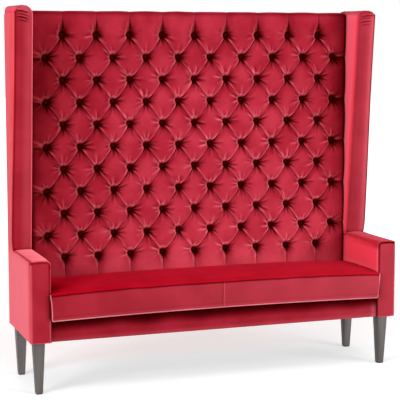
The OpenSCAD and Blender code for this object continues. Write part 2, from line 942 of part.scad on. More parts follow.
// Velvet case with its wadding, hollow for the foam and open at the back
module seat_cushion() {
    color(velvet)
        difference() {
            cushion_ring_stack();
            board(core_low, core_high + [0, cut, 0]);
        }
}

// Foam core of the cushion
module seat_foam_core() {
    color(foam)
        board(core_low + core_gap * [1, 1, 1], [core_high[0] - core_gap, back_band_y, core_high[2] - core_gap]);
}

// Boxing strip that closes the case behind the foam
module cushion_back_band() {
    color(velvet)
        board(
            [core_low[0] + core_gap, back_band_y, core_low[2] + core_gap],
            core_high - [core_gap, 0, core_gap]
        );
}

// Piping round the front band of the cushion
module cushion_piping() {
    x = cushion_half_w - piping_r;
    y = front_y + piping_r;
    z1 = cushion_z + piping_r;
    z2 = seat_h - piping_r;
    color(dark_velvet) {
        for (z = [z1, z2])
            translate([-x, y, z]) rotate([0, 90, 0]) cylinder(h = 2 * x, r = piping_r, $fn = rod_fn);
        for (side = [-x, x]) {
            translate([side, y, z1]) cylinder(h = z2 - z1, r = piping_r, $fn = rod_fn);
            for (z = [z1, z2])
                translate([side, y, z]) sphere(r = piping_r, $fn = rod_fn);
        }
    }
}

leg(-leg_x, leg_front_y);  // leg_front_left
leg(leg_x, leg_front_y);  // leg_front_right
leg(-leg_x, leg_rear_y);  // leg_rear_left
leg(leg_x, leg_rear_y);  // leg_rear_right
leg_glides();
hanger_bolts();
tee_nuts();
front_seat_rail();
back_seat_rail();
on_left() side_seat_rail();  // side_seat_rail_left
side_seat_rail();  // side_seat_rail_right
seat_cross_rails();
corner_blocks();
sinuous_springs();
spring_clips();
seat_deck();
on_left() side_bottom_rail();  // side_bottom_rail_left
side_bottom_rail();  // side_bottom_rail_right
on_left() arm_front_post();  // arm_front_post_left
arm_front_post();  // arm_front_post_right
on_left() arm_top_rail();  // arm_top_rail_left
arm_top_rail();  // arm_top_rail_right
on_left() rear_post();  // rear_post_left
rear_post();  // rear_post_right
on_left() wing_post();  // wing_post_left
wing_post();  // wing_post_right
on_left() wing_top_rail();  // wing_top_rail_left
wing_top_rail();  // wing_top_rail_right
on_left() arm_inner_panel();  // arm_inner_panel_left
arm_inner_panel();  // arm_inner_panel_right
on_left() wing_inner_panel();  // wing_inner_panel_left
wing_inner_panel();  // wing_inner_panel_right
back_rail(top_rail_z);  // back_top_rail
back_rail(middle_rail_z);  // back_middle_rail
back_rail(lower_rail_z);  // back_lower_rail
back_rail(frame_z);  // back_bottom_rail
back_uprights();
tufting_board();
button_ties();
back_foam_slab();
tufted_back();
cover_buttons();
back_top_band();
on_left() arm_pad();  // arm_pad_left
arm_pad();  // arm_pad_right
on_left() arm_front_panel();  // arm_front_panel_left
arm_front_panel();  // arm_front_panel_right
on_left() wing_pad();  // wing_pad_left
wing_pad();  // wing_pad_right
on_left() arm_outer_cover();  // arm_outer_cover_left
arm_outer_cover();  // arm_outer_cover_right
on_left() wing_outer_cover();  // wing_outer_cover_left
wing_outer_cover();  // wing_outer_cover_right
outer_back_cover();
front_rail_cover();
dust_cover();
seat_cushion();
seat_foam_core();
cushion_back_band();
cushion_piping();
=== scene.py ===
# %% [markdown]
# # A high back settee in red velvet
#
# This lesson dresses a plain CAD frame as a finished piece of furniture. The settee has a
# tall deep-buttoned back between two slim wings, low square arms, one bench cushion and
# four dark tapered legs. The frame carries every place and size, so each new piece is put
# where its CAD node is. Velvet pieces are made as meshes in code, because tufts, seams and
# gathers follow rules that numbers describe well. Wooden pieces are modelled by hand.

# %% Load the frame
import json
import math

import bmesh
import bpy
import numpy as np
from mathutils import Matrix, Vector
from mathutils.kdtree import KDTree


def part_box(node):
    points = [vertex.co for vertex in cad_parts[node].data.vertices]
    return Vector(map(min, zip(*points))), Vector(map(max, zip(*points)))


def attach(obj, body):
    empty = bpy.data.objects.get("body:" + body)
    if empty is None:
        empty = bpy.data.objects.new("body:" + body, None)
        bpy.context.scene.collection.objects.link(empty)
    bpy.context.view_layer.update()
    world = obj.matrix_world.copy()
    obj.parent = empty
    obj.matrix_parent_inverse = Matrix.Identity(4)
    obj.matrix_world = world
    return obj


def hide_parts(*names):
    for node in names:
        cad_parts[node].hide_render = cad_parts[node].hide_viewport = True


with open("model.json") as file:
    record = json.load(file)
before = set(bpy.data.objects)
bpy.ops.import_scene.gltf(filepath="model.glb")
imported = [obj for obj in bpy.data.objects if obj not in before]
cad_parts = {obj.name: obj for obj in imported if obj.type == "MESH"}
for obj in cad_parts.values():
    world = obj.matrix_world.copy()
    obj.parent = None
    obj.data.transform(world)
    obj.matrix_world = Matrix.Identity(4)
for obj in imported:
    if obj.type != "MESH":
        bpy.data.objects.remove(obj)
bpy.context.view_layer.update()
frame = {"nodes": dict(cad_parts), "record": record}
mm = 0.001
tiny = 1e-6
both_sides = (("left", -1), ("right", 1))
print("CAD nodes in the frame:", len(frame["nodes"]))

# %% [markdown]
# ## The camera
#
# The photograph looks from the front, a little from the left and from eye height, through
# a long lens that keeps upright lines upright. A camera in Blender looks along its own -Z,
# so it is tipped up by almost a quarter turn and then turned about the world's Z. It comes
# first, so that every later piece can be judged in the same picture.

# %% Camera
camera_data = bpy.data.cameras.new("camera")
camera_data.sensor_width = 36
camera_data.lens = 118.1
camera = bpy.data.objects.new("camera", camera_data)
camera.location = (-2.125, -5.825, 1.579)
camera.rotation_euler = (math.radians(83.06), 0, math.radians(-19.82))
bpy.context.collection.objects.link(camera)
bpy.context.scene.camera = camera
print("camera lens in mm:", camera_data.lens)

# %% [markdown]
# ## Helpers for meshes
#
# A few small tools serve all the padded pieces. One turns points and faces into an object,
# and one lets it ride on the frame in place of the CAD nodes it stands for. One gives
# smooth, repeatable noise, because cloth is never quite flat. One spaces grid lines closer
# together near an edge, where the cloth turns over. The last ones are plain curves.

# %% Pick, smooth, add and finish
def pick(piece):
    bpy.ops.object.select_all(action="DESELECT")
    piece.select_set(True)
    bpy.context.view_layer.objects.active = piece


def smooth(piece, crease_angle):
    pick(piece)
    bpy.ops.object.shade_smooth_by_angle(angle=math.radians(crease_angle))


def add_shades(mesh, shades):
    for shade, values in shades.items():
        layer = mesh.attributes.new(shade, "FLOAT", "POINT")
        layer.data.foreach_set("value", np.asarray(values, np.float32).ravel())


def add_mesh(name, points, faces, crease_angle=60, shades=None):
    mesh = bpy.data.meshes.new(name)
    mesh.from_pydata(np.asarray(points, float).tolist(), [], [list(map(int, f)) for f in faces])
    mesh.update()
    add_shades(mesh, shades or {})
    piece = bpy.data.objects.new(name, mesh)
    bpy.context.collection.objects.link(piece)
    shell = bmesh.new()
    shell.from_mesh(mesh)
    bmesh.ops.remove_doubles(shell, verts=shell.verts, dist=0.02 * mm)
    bmesh.ops.recalc_face_normals(shell, faces=shell.faces)
    shell.to_mesh(mesh)
    shell.free()
    smooth(piece, crease_angle)
    return piece


def finish(piece, material, nodes):
    piece.data.materials.clear()
    piece.data.materials.append(material)
    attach(piece, "root")
    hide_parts(*nodes)
    print(piece.name, "has", len(piece.data.polygons), "faces")


# %% Noise, grid lines and curves
def drift(points, size, seed, waves=12):
    """Smooth noise from about -1 to 1 whose hills are about size wide."""
    draw = np.random.RandomState(seed)
    total = np.zeros(len(points))
    for _ in range(waves):
        way = draw.normal(size=points.shape[1])
        way *= 2 * math.pi * draw.uniform(0.5, 1.3) / size / np.linalg.norm(way)
        total += np.sin(points @ way + draw.uniform(0, 2 * math.pi))
    return total / math.sqrt(waves)


def lines(start, end, step, edge):
    """Places from start to end, about step apart, but closer within edge of both ends."""
    near = np.array([0, 0.12, 0.35, 0.65]) * edge
    count = max(int(round((end - start - 2 * edge) / step)), 1)
    middle = np.linspace(start + edge, end - edge, count + 1)
    return np.concatenate([start + near, middle, end - near[::-1]])


def rise(value, low, high):
    """A smooth step from 0 at low up to 1 at high."""
    t = np.clip((value - low) / (high - low), 0, 1)
    return t * t * (3 - 2 * t)


def fall(value, low, high):
    return 1 - rise(value, low, high)


def hill(value, low, top, top_end, high):
    """Up from low to top, level as far as top_end, and down again to high."""
    return rise(value, low, top) * fall(value, top_end, high)


def bell(value, middle, width):
    return np.exp(-(((value - middle) / width) ** 2))


def fade_out(value, width):
    return np.exp(-value / width)


def round_off(gap, r):
    """How far an edge rounded by r has turned away, at a gap from the border."""
    return r - np.sqrt(np.clip(r**2 - np.clip(r - gap, 0, None) ** 2, 0, None))


print("noise sample:", drift(np.zeros((1, 3)), 1.0, 1).round(3))

# %% [markdown]
# ## Velvet
#
# Velvet is a cut pile. Seen straight on, one looks down between the fibres and the colour
# is deep. Seen from the side, the fibre tips catch the light and the edges glow, which the
# shader's own sheen gives. Brushing leaves large soft patches, which a slow noise gives, and
# a very fine noise in the bump is the pile itself. Three attributes on the meshes paint light
# and shade into the colour: one is painted shade, high in folds, pockets and seams and where
# one part shades another, one a painted highlight, high on the crests of folds and along
# rounded edges and hems, and one a painted sheen, high where the cloth turns to the side.

# %% Node helpers
def wire(tree, node, values):
    """Links each value that is a socket to the input of its name, and writes the others."""
    for name, value in values.items():
        if isinstance(value, bpy.types.NodeSocket):
            tree.links.new(value, node.inputs[name])
        else:
            node.inputs[name].default_value = value


def add_node(tree, kind, values, **settings):
    node = tree.nodes.new("ShaderNode" + kind)
    for name, setting in settings.items():
        setattr(node, name, setting)
    wire(tree, node, values)
    return node


def new_material(name):
    """A material, its node tree, its shader and the coordinates of its object."""
    material = bpy.data.materials.new(name)
    material.use_nodes = True
    tree = material.node_tree
    coords = add_node(tree, "TexCoord", {}).outputs["Object"]
    return material, tree, tree.nodes["Principled BSDF"], coords


def noise(tree, coords, scale, detail=3.0, stretch=(1, 1, 1)):
    mapping = add_node(tree, "Mapping", {"Vector": coords, "Scale": stretch})
    values = {"Vector": mapping.outputs["Vector"], "Scale": scale, "Detail": detail}
    return add_node(tree, "TexNoise", values).outputs["Fac"]


def ramp(tree, value, stops):
    node = add_node(tree, "ValToRGB", {"Fac": value})
    steps = node.color_ramp.elements
    for end in (0, -1):
        steps[end].position = stops[end][0]
        steps[end].color = (*stops[end][1], 1)
    for place, colour in stops[1:-1]:
        steps.new(place).color = (*colour, 1)
    return node.outputs["Color"]


def bumps(tree, shader, *heights):
    """Chains one bump after another; each height is (value, strength, distance)."""
    last = {}
    for value, strength, distance in heights:
        values = {"Strength": strength, "Distance": distance, "Height": value, **last}
        last = {"Normal": add_node(tree, "Bump", values).outputs["Normal"]}
    wire(tree, shader, last)


# %% Velvet material
# Colours by which painted shade darkens the velvet and its sheen, from none to full.
painted_shade_stops = [
    (0, (1, 1, 1)), (0.25, (0.60, 0.38, 0.43)), (0.5, (0.31, 0.14, 0.15)),
    (0.75, (0.13, 0.035, 0.025)), (1, (0.04, 0.002, 0.002)),
]
# Colours of the painted sheen on faces turned to the side and of the painted highlight on crests
# and edges.
painted_sheen_colour = (0.92, 0.050, 0.092, 1)
painted_highlight_colour = (1.0, 0.215, 0.275, 1)


def velvet(name, deep, light, sheen=1.0, sheen_tint=(1.0, 0.30, 0.36), sheen_roughness=0.38):
    material, tree, shader, coords = new_material(name)
    colour = ramp(tree, noise(tree, coords, 7.0), [(0.38, deep), (0.62, light)])
    # Painted sheen and painted highlight lighten the colour.
    for shade, pale in (("nap", painted_sheen_colour), ("lit", painted_highlight_colour)):
        share = add_node(tree, "Attribute", {}, attribute_name=shade).outputs["Fac"]
        values = {"Factor": share, "A": colour, "B": pale}
        colour = add_node(tree, "Mix", values, data_type="RGBA").outputs["Result"]
    # Painted shade darkens both the colour and the sheen tint.
    hollow = add_node(tree, "Attribute", {}, attribute_name="hollow").outputs["Fac"]
    dim = ramp(tree, hollow, painted_shade_stops)
    for socket, bright in (("Base Color", colour), ("Sheen Tint", (*sheen_tint, 1))):
        values = {"Factor": 1.0, "A": bright, "B": dim}
        dimmed = add_node(tree, "Mix", values, data_type="RGBA", blend_type="MULTIPLY")
        wire(tree, shader, {socket: dimmed.outputs["Result"]})
    ruffle, pile = noise(tree, coords, 160.0), noise(tree, coords, 1400.0, 2.0)
    bumps(tree, shader, (ruffle, 0.25, 0.0008), (pile, 0.35, 0.0004))
    wire(tree, shader, {"Roughness": 0.85, "Specular IOR Level": 0.0})
    wire(tree, shader, {"Sheen Weight": sheen, "Sheen Roughness": sheen_roughness})
    return material


# One red velvet in five copies, lighter or darker as painted light: the sides lightest, where the
# key lamp and the sheen fall, the fronts darkest, the back and the seat between, and the piping
# pale as a painted sheen.
back_velvet = velvet(
    "velvet_back", (0.43, 0.023, 0.046), (0.55, 0.044, 0.077),
    sheen_tint=(1.0, 0.31, 0.39), sheen_roughness=0.26,
)
lit_side_velvet = velvet("velvet_sides", (0.77, 0.046, 0.061), (0.87, 0.062, 0.079))
shaded_front_velvet = velvet(
    "velvet_fronts", (0.29, 0.012, 0.023), (0.35, 0.017, 0.033),
    sheen_tint=(1.0, 0.27, 0.35), sheen_roughness=0.32,
)
seat_velvet = velvet(
    "velvet_seat", (0.44, 0.0005, 0.011), (0.52, 0.002, 0.017),
    sheen=0.06, sheen_tint=(1.0, 0.15, 0.25), sheen_roughness=0.4,
)
sheen_piping_velvet = velvet("velvet_piping", (0.58, 0.15, 0.18), (0.68, 0.20, 0.23))


def paint_side_sheen(piece, start=0.5):
    """Paints a sheen where the cloth turns to the side, from the way the surface faces."""
    sideways = np.array([abs(point.normal.x) for point in piece.data.vertices])
    add_shades(piece.data, {"nap": rise(sideways, start, 1.0)})


print("velvet materials:", [m.name for m in bpy.data.materials if m.name.startswith("velvet")])

# %% [markdown]
# ## The deep-buttoned back
#
# The velvet is drawn to the board behind by rows of buttons, and the spare cloth between
# two buttons is laid into a pleat. All pleats face down, so that each diamond laps over
# the two below it. A grid is made whose lines run through every button and along every
# pleat. Each point is then pushed back by how far it lies from the nearest pleats and
# button, and the cloth just above a pleat is slid down over it, which makes a real lap
# with a shadow under it. Above the top row and below the bottom one the pleats run
# straight, and beside the end buttons they run to the wings.

# %% Lattice of buttons
button_cols, button_rows = 9, 11
button_r = 10 * mm
tuft_low, tuft_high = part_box("tufted_back")
button_low, button_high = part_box("cover_buttons")
band_low, band_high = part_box("back_top_band")
inner_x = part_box("wing_pad_right")[0].x
pitch = 2 * inner_x / (button_cols + 1)
top_row_z = button_high.z - button_r
row_h = (button_high.z - button_low.z - 2 * button_r) / (button_rows - 1)
print("pitch and row height in mm:", round(pitch / mm, 1), round(row_h / mm, 1))

# %% Grid of the tufted velvet
fine = 22  # grid steps from one row to the next
tighten = 0.5  # how far the grid lines gather at the pleats
roll_r = 16 * mm
row_first = (top_row_z - (band_high.z - roll_r)) / row_h
row_last = (top_row_z - tuft_low.z) / row_h
rows = np.arange(math.ceil(row_first * fine), math.floor(row_last * fine) + 1) / fine
rows = np.concatenate([[row_last], rows[::-1], [row_first]])
cols = np.arange(0, (button_cols + 1) * 2 * fine + 1) / (2 * fine)
u, v = np.meshgrid(cols, rows)
grid_shape = u.shape


def inside_lattice(u, v):
    return np.clip(u, 0.5, button_cols + 0.5), np.clip(v, 0, button_rows - 1)


u_in, v_in = inside_lattice(u, v)
diagonals = np.stack([u_in + v_in / 2, u_in - v_in / 2])  # whole numbers on the pleats
drawn = -tighten / (2 * math.pi) * np.sin(2 * math.pi * diagonals)
diagonals += drawn
u, v = u + (drawn[0] + drawn[1]) / 2, v + (drawn[0] - drawn[1])
u_in, v_in = inside_lattice(u, v)
far_u, far_v = np.clip(np.abs(u - u_in) * 2, 0, 1), np.abs(v - v_in)
inner = np.clip(1 - far_v, 0, 1)
print("grid of the back:", grid_shape)

# %% [markdown]
# The pleats form two families, and each array below that begins with an axis of two holds
# both: first the pleats that rise to the right, then those that rise to the left. Up to
# the finished depth, the distances are in millimetres.

# %% Distances to the pleats and to the nearest button
line_gap = 1 / math.hypot(1 / pitch, 1 / (2 * row_h))
normals = np.array([[1 / pitch, -1 / (2 * row_h)], [1 / pitch, 1 / (2 * row_h)]]) * line_gap
line = np.round(diagonals)
off = (diagonals - line) * line_gap / mm
above = off * np.array([-1, 1])[:, None, None]
along = diagonals[::-1]
mid = np.sin(math.pi * along) ** 2
reach = np.full(grid_shape, 1e6)
spot_u, spot_v = np.zeros(grid_shape), np.zeros(grid_shape)
for step in (0, 1):
    row = np.clip(np.floor(v) + step, 0, button_rows - 1)
    half = row % 2 / 2
    col = np.clip(np.round(u - half) + half, 1 - half, button_cols + half)
    gap = np.hypot((u - col) * pitch, (row - v) * row_h) / mm
    spot_u, spot_v = np.where(gap < reach, col, spot_u), np.where(gap < reach, row, spot_v)
    reach = np.minimum(gap, reach)
from_x, from_z = (u - spot_u) * pitch / mm, (spot_v - v) * row_h / mm
print("pleat lines lie this far apart in mm:", round(line_gap / mm, 1))


# %% One pleat in section, and how strong it is along its length
def pleat_depth(above, wide):
    """How far the cloth lies back: a step under the lap, and a steep round lip above it."""
    return np.where(above > 0, bell(above, 0, 3), fade_out(np.clip(-above / wide - 6, 0, None), 8))


def cell_of(places):
    """Where the random number of a pleat, a diamond or a button stands in its table."""
    return np.floor(places).astype(int) % cells


cells = 40
draw = np.random.RandomState(7)
pleat_draws = draw.uniform(-1, 1, size=(2, cells, cells))
varied = pleat_draws[np.arange(2)[:, None, None], line.astype(int) % cells, cell_of(along)]
over_top, under_foot = np.clip(-v, 0, None), np.clip(v - (button_rows - 1), 0, None)
fade = (0.22 + 0.78 * bell(over_top, 0, 0.62)) * (1 - 0.5 * np.minimum(under_foot, 1.5))
strength = (1 - 0.45 * mid * inner) * (1 + 0.15 * varied) * fade
strength *= (1 - 0.5 * far_u) * np.stack([np.ones(grid_shape), inner])
wide = 0.75 + 0.9 * fade_out(reach, 34)
crease = ((pleat_depth(above, wide) * strength) ** 4).sum(0) ** 0.25
print("deepest crease share:", crease.max().round(2))

# %% [markdown]
# Small gathers run out from each button like rays, shallow dents with painted shade, each
# with a painted highlight beside it for a ridge. Above the first row and below the last one
# they give way to one dark wedge per button, a shallow dent with painted shade and a painted
# highlight beside it. From the leftmost buttons a painted highlight sweeps up to the wing.

# %% Gathers, wedges and the painted highlights by the wing
ray_count = 15
ray_draw = np.random.RandomState(11)
ray_shape = (cells, cells, ray_count)
ray_angles = ray_draw.uniform(-0.22, 0.22, size=ray_shape)
ray_angles += np.arange(ray_count) * 2 * math.pi / ray_count
ray_lengths = ray_draw.uniform(40, 84, size=ray_shape)
ray_depths = ray_draw.uniform(0.35, 1.0, size=ray_shape)
spot = np.round(spot_u * 2).astype(int) % cells, np.round(spot_v).astype(int) % cells
ray_angles, ray_lengths, ray_depths = ray_angles[spot], ray_lengths[spot], ray_depths[spot]
ray_width = 1.8 + 0.05 * reach
angle = np.arctan2(from_z, from_x)
rays, ridge_highlights = np.zeros(grid_shape), np.zeros(grid_shape)
for k in range(ray_count):
    turn = angle - ray_angles[..., k]
    share = fall(reach / ray_lengths[..., k], 0.45, 1.0) * ray_depths[..., k]
    share *= rise(reach, 8, 15) * (np.cos(turn) > 0)
    rays += bell(reach * np.sin(turn), 0, ray_width) * share
    ridge_highlights += bell(reach * np.sin(turn - 0.22), 0, 0.8 * ray_width) * share
low_row, row_gap = from_z < 0, np.abs(from_z)
outer_row = ((spot_v < 0.5) & (from_z > 0)) | ((spot_v > button_rows - 1.5) & low_row)
rays = np.minimum(rays, 1.2) * (1 - 0.75 * outer_row)
ridge_highlights = np.minimum(ridge_highlights, 1.2) * (1 - 0.6 * outer_row)
wedge_w = 2.5 + np.where(low_row, 5, 8.5) * fall(row_gap, 10, np.where(low_row, 50, 78))
wedge = bell(from_x, 2, wedge_w) * hill(row_gap, 4, 12, 40, 90) * outer_row
wedge_lit = bell(from_x, -wedge_w - 5, 5) * hill(row_gap, 8, 18, 30, 70) * outer_row
# A painted highlight sweeps from each end button up to the wing.
to_wing = -from_x * (spot_u < 0.75)
swoop = bell(from_z, 3 + 0.4 * to_wing, 5) * rise(to_wing, 6, 20)
print("strongest gather:", rays.max().round(2))

# %% Depth of every point below the crests
diamond_h, crease_h, pocket_h, ray_h, wedge_h, puff_h, uneven_h = 7.5, 6.0, 22, 2.2, 4, 1.3, 0.5
pocket_r = 19
crown = np.abs(np.sin(math.pi * diagonals)).prod(0) ** 0.5
puff_draws = np.random.RandomState(5).uniform(-1, 1, size=(cells, cells))
puff = puff_draws[tuple(cell_of(diagonals))]
plane = np.stack([u * pitch, -v * row_h], axis=-1).reshape(-1, 2)
uneven = drift(plane, 90 * mm, 3).reshape(grid_shape)
pocket = np.exp(-((reach / pocket_r) ** 1.9))
depth = diamond_h * (1 - crown) * fade + crease_h * crease * (1 - 0.5 * pocket)
depth += pocket_h * pocket + ray_h * rays + wedge_h * wedge
depth -= puff_h * puff * crown + uneven_h * uneven
depth = np.clip(depth, -2, 33) * mm
print("depth of the tufts in mm:", (depth.min() / mm).round(1), "to", (depth.max() / mm).round(1))

# %% [markdown]
# The crests get a painted highlight on the side of the light, at the left, and the laps,
# pockets and gathers get painted shade. Broad painted shade lies over that: the back is
# darker beside the wings, in their shade, and near its top. Heights and the distances to the
# wings are in metres again.


# %% Painted shade and painted highlight of the velvet at every point
def strongest(middle, width, share=1.0):
    return (bell(above, middle, width) * strength * share).max(0)


core = np.hypot(from_x - 1.5, (from_z + 4) / 1.25)
away = rise(reach, 12, 30)
nearby, close_by = 0.50 + 0.50 * bell(reach, 0, 56), 0.30 + 0.70 * bell(reach, 0, 50)
dark_share = np.stack([1 - 0.15 * mid[0], 1 - 0.45 * mid[1] * inner])
lit_share = np.stack([0.75 + 0.25 * varied[0], 0.8 + 0.2 * varied[1]])
line_dark, line_lit = strongest(-5 * wide, 3.7 * wide, dark_share), strongest(4, 2.8, lit_share)
to_right, to_left = np.clip(np.cos(angle + 0.5), 0, 1), np.clip(np.cos(angle - 2.5), 0, 1)
# Painted highlight on the crests above the laps, beside the gathers, on the left rims of the
# pockets, beside the wedges and on the sweep to the wing.
lit = (
    1.3 * line_lit * close_by * away  # crests above the laps
    + 1.0 * ridge_highlights * (0.35 + 0.65 * to_left)
    + 1.4 * bell(core, 22, 4.5) * to_left  # left rims of the pockets
    + 0.5 * wedge_lit
    + 0.9 * swoop
)
lit = np.minimum(lit, 0.85)
halo = bell(np.hypot(from_x - 9, from_z + 9), 0, 34)
from_left, from_right = u * pitch, (button_cols + 1 - u) * pitch
side_gap = np.minimum(from_left, from_right)
height = top_row_z - v * row_h
# Painted shade in the pockets, wedges, laps and gathers, on the slopes below them, in the shade of
# the wings, towards the top and in the gaps beside the wings.
hollow = (
    0.58 * fall(core, 8, 19)  # the pockets
    + 0.46 * wedge
    + 0.24 * bell(core, 17, 9) * to_right  # their right rims
    + 0.34 * line_dark * nearby * away  # under the laps
    + 0.46 * rays * (0.40 + 0.60 * to_right)
    + (0.18 * strongest(-12, 15) + 0.19 * halo) * (1 - lit)  # the slopes below them
    + 0.34 * fade_out(from_left, 0.25) * (1 - 0.5 * rise(height, 1.45, 1.68))
    + 0.48 * fade_out(from_right, 0.055)  # in the shade of the wings
    + 0.12 * bell(height, 1.28, 0.27) * fade_out(from_left, 0.20)
    + 0.25 * bell(height, 1.28, 0.27) * fade_out(from_right, 0.22)  # more so high up
    + 0.10 * rise(height, 0.48, 0.85)  # darker in steps towards the top
    + 0.09 * rise(height, 1.20, 1.65)
    + 0.16 * rise(height, 1.685, 1.71)
    + 0.50 * bell(side_gap, 0, 14 * mm)  # the gaps beside the wings
)
hollow = np.clip(hollow, 0, 1)
# The painted highlight fades beside the wings, and the foot gets a little more of it.
lit *= fade * rise(side_gap, 0, 12 * mm * (1 - swoop) + mm)
lit = np.clip(lit + 0.07 * fall(height, 0.50, 0.64), 0, 0.85)
print("mean of hollow and lit:", hollow.mean().round(3), lit.mean().round(3))

# %% Slide the laps over their pleats and bow the pleats
lap_slide, lap_middle, lap_w = 5.6 * mm, 3, 4.2
side_r, foot_r = 36 * mm, 20 * mm
slid = np.where(above > -1, bell(above, lap_middle, lap_w), 0) * (1 - bell(reach, 0, 20))
slid *= lap_slide * strength
bow = np.stack([4.2 + 2.5 * varied[0], 2.2 * varied[1]]) * mm * mid * bell(off, 0, 26) * inner
pushed = slid + bow
move_x, move_z = (pushed[0] * normals[0][k] - pushed[1] * normals[1][k] for k in (0, 1))
x = (u - (button_cols + 1) / 2) * pitch + move_x * rise(side_gap, 0, 14 * mm)
x = np.clip(x, -tuft_high.x, tuft_high.x)
side_roll = round_off(side_gap, side_r)
y = tuft_low.y + depth + side_roll + round_off((row_last - v) * row_h, foot_r)
front = np.stack([x, y, height + move_z * inner], -1)
print("front of the back:", front.min((0, 1)).round(3), front.max((0, 1)).round(3))

# %% Roll the velvet over the top and close the shell
edge = front[-1]
extra = []
for turn in np.radians(np.arange(15, 91, 15)):
    bend = roll_r - depth[-1] * (1 - 0.45 * math.sin(turn))
    row = edge.copy()
    row[:, 1] = tuft_low.y + roll_r - bend * math.cos(turn) + side_roll[-1]
    row[:, 2] = band_high.z - roll_r + (bend - 0.26 * side_roll[-1]) * math.sin(turn)
    extra.append(row)
crest_line = extra[-1]
for share in (0.15, 0.3, 0.5, 0.7, 0.85, 0.96, 1.0):
    row = crest_line.copy()
    row[:, 1] += (band_high.y - crest_line[:, 1]) * share
    row[:, 2] += (band_high.z - 0.3 * mm - crest_line[:, 2]) * share * 0.8
    extra.append(row)
row[:, 2] -= 1.2 * mm
for back_y in (band_high.y, tuft_high.y):
    row = edge.copy()
    row[:, 1:] = back_y, band_low.z
    extra.append(row)
foot = front[0].copy()
foot[:, 1:] = tuft_high.y, tuft_low.z
sheet = np.concatenate([foot[None], front, np.array(extra)])
n_rows, n_cols = sheet.shape[:2]
shades = {}
for shade, values in (("hollow", hollow), ("lit", lit)):
    fading = values[-1] * np.array([0.8, 0.6, 0.4, 0.2])[:, None]
    blank = np.zeros((n_rows - len(values) - 5, n_cols))
    shades[shade] = np.concatenate([blank[:1], values, fading, blank])
# The roll over the top and the band behind it get painted shade.
shades["hollow"][1 + grid_shape[0] :] += 0.20
print("rows and columns of the shell:", n_rows, n_cols)

# %% Faces, each cut along the pleat that is nearer
ids = np.arange(n_rows * n_cols).reshape(n_rows, n_cols)
a, b, c, d = (k.ravel() for k in (ids[:-1, :-1], ids[:-1, 1:], ids[1:, 1:], ids[1:, :-1]))
by_first = np.ones((n_rows - 1, n_cols - 1), bool)
near = np.abs(off[1]) - np.abs(off[0])
by_first[1 : grid_shape[0]] = (near[:-1, :-1] + near[1:, 1:] + near[:-1, 1:] + near[1:, :-1]) > 0
by_first = by_first.ravel()[:, None]
first = np.where(by_first, np.stack([a, b, c], 1), np.stack([a, b, d], 1))
second = np.where(by_first, np.stack([a, c, d], 1), np.stack([b, c, d], 1))
faces = np.concatenate([first, second]).tolist()
faces += [ids[:, 0].tolist(), ids[::-1, -1].tolist(), ids[-1].tolist() + ids[0, ::-1].tolist()]
tufts = add_mesh("velvet_tufted_back", sheet.reshape(-1, 3), faces, 75, shades)
finish(tufts, back_velvet, ["tufted_back", "back_top_band"])

# %% [markdown]
# ## Covered buttons
#
# At the bottom of each pocket sits a small dome covered in the same velvet. One button is
# shaped from a cylinder: its front is inset twice and pulled out to a dome. It is then
# copied to all the pockets, with few faces, because there are over a hundred.

# %% One button, shaped from a cylinder
def select_faces(piece, test):
    """Selects, in edit mode, the faces that pass the test."""
    shell = bmesh.from_edit_mesh(piece.data)
    for item in list(shell.verts) + list(shell.edges) + list(shell.faces):
        item.select = False
    shell.select_mode = {"FACE"}
    for face in shell.faces:
        face.select = test(face)
    shell.select_flush_mode()
    bmesh.update_edit_mesh(piece.data)


def apply_place(piece):
    pick(piece)
    bpy.ops.object.transform_apply(location=True, rotation=True, scale=True)


bpy.ops.object.select_all(action="DESELECT")
rim_n = 12
facing_front = (math.radians(90), 0, 0)
bpy.ops.mesh.primitive_cylinder_add(
    vertices=rim_n, radius=button_r, depth=3 * mm, end_fill_type="NGON", rotation=facing_front
)
button = bpy.context.active_object
apply_place(button)
bpy.ops.object.mode_set(mode="EDIT")
for thickness, forward in ((2.2 * mm, 1.2 * mm), (3.2 * mm, 0.8 * mm)):
    select_faces(button, lambda f: f.normal.y < -0.9 and len(f.verts) == rim_n)
    bpy.ops.mesh.inset(thickness=thickness)
    bpy.ops.transform.translate(value=(0, -forward, 0))
bpy.ops.object.mode_set(mode="OBJECT")
print("one button has", len(button.data.polygons), "faces")

# %% Copies of the button in all pockets
button_y = (button_low.y + button_high.y) / 2 + 1 * mm
copies = []
for row in range(button_rows):
    for k in range(button_cols + row % 2):
        copy = button.copy()
        copy.data = button.data.copy()
        turn = draw.uniform(0, 0.5)
        sin, cos = math.sin(turn), math.cos(turn)
        tilt = np.array([[cos, 0, -sin], [0, 1, 0], [sin, 0, cos]])
        place_x = (1 - (row % 2) / 2 + k - (button_cols + 1) / 2) * pitch
        place = np.array([place_x, button_y, top_row_z - row * row_h])
        co = np.array([p.co for p in copy.data.vertices]) @ tilt.T + place
        copy.data.vertices.foreach_set("co", co.ravel())
        bpy.context.collection.objects.link(copy)
        copies.append(copy)
bpy.data.objects.remove(button)
pick(copies[0])
for copy in copies:
    copy.select_set(True)
bpy.ops.object.join()
buttons = bpy.context.active_object
buttons.name = "velvet_buttons"
smooth(buttons, 50)
# The buttons get painted shade, as they sit deep in the pockets.
add_shades(buttons.data, {"hollow": np.full(len(buttons.data.vertices), 0.90)})
finish(buttons, back_velvet, ["cover_buttons"])

# %% [markdown]
# ## Upholstered panels
#
# The outer sides, the arm fronts, the front rail, the outer back and the dust cover are all
# the same kind of thing: cloth drawn over a flat board or frame, soft in the middle and
# turned over at the edges. One function makes them all. It takes a flat grid, finds the
# border, lets the cloth rise away from it, rounds it off there and closes the back.

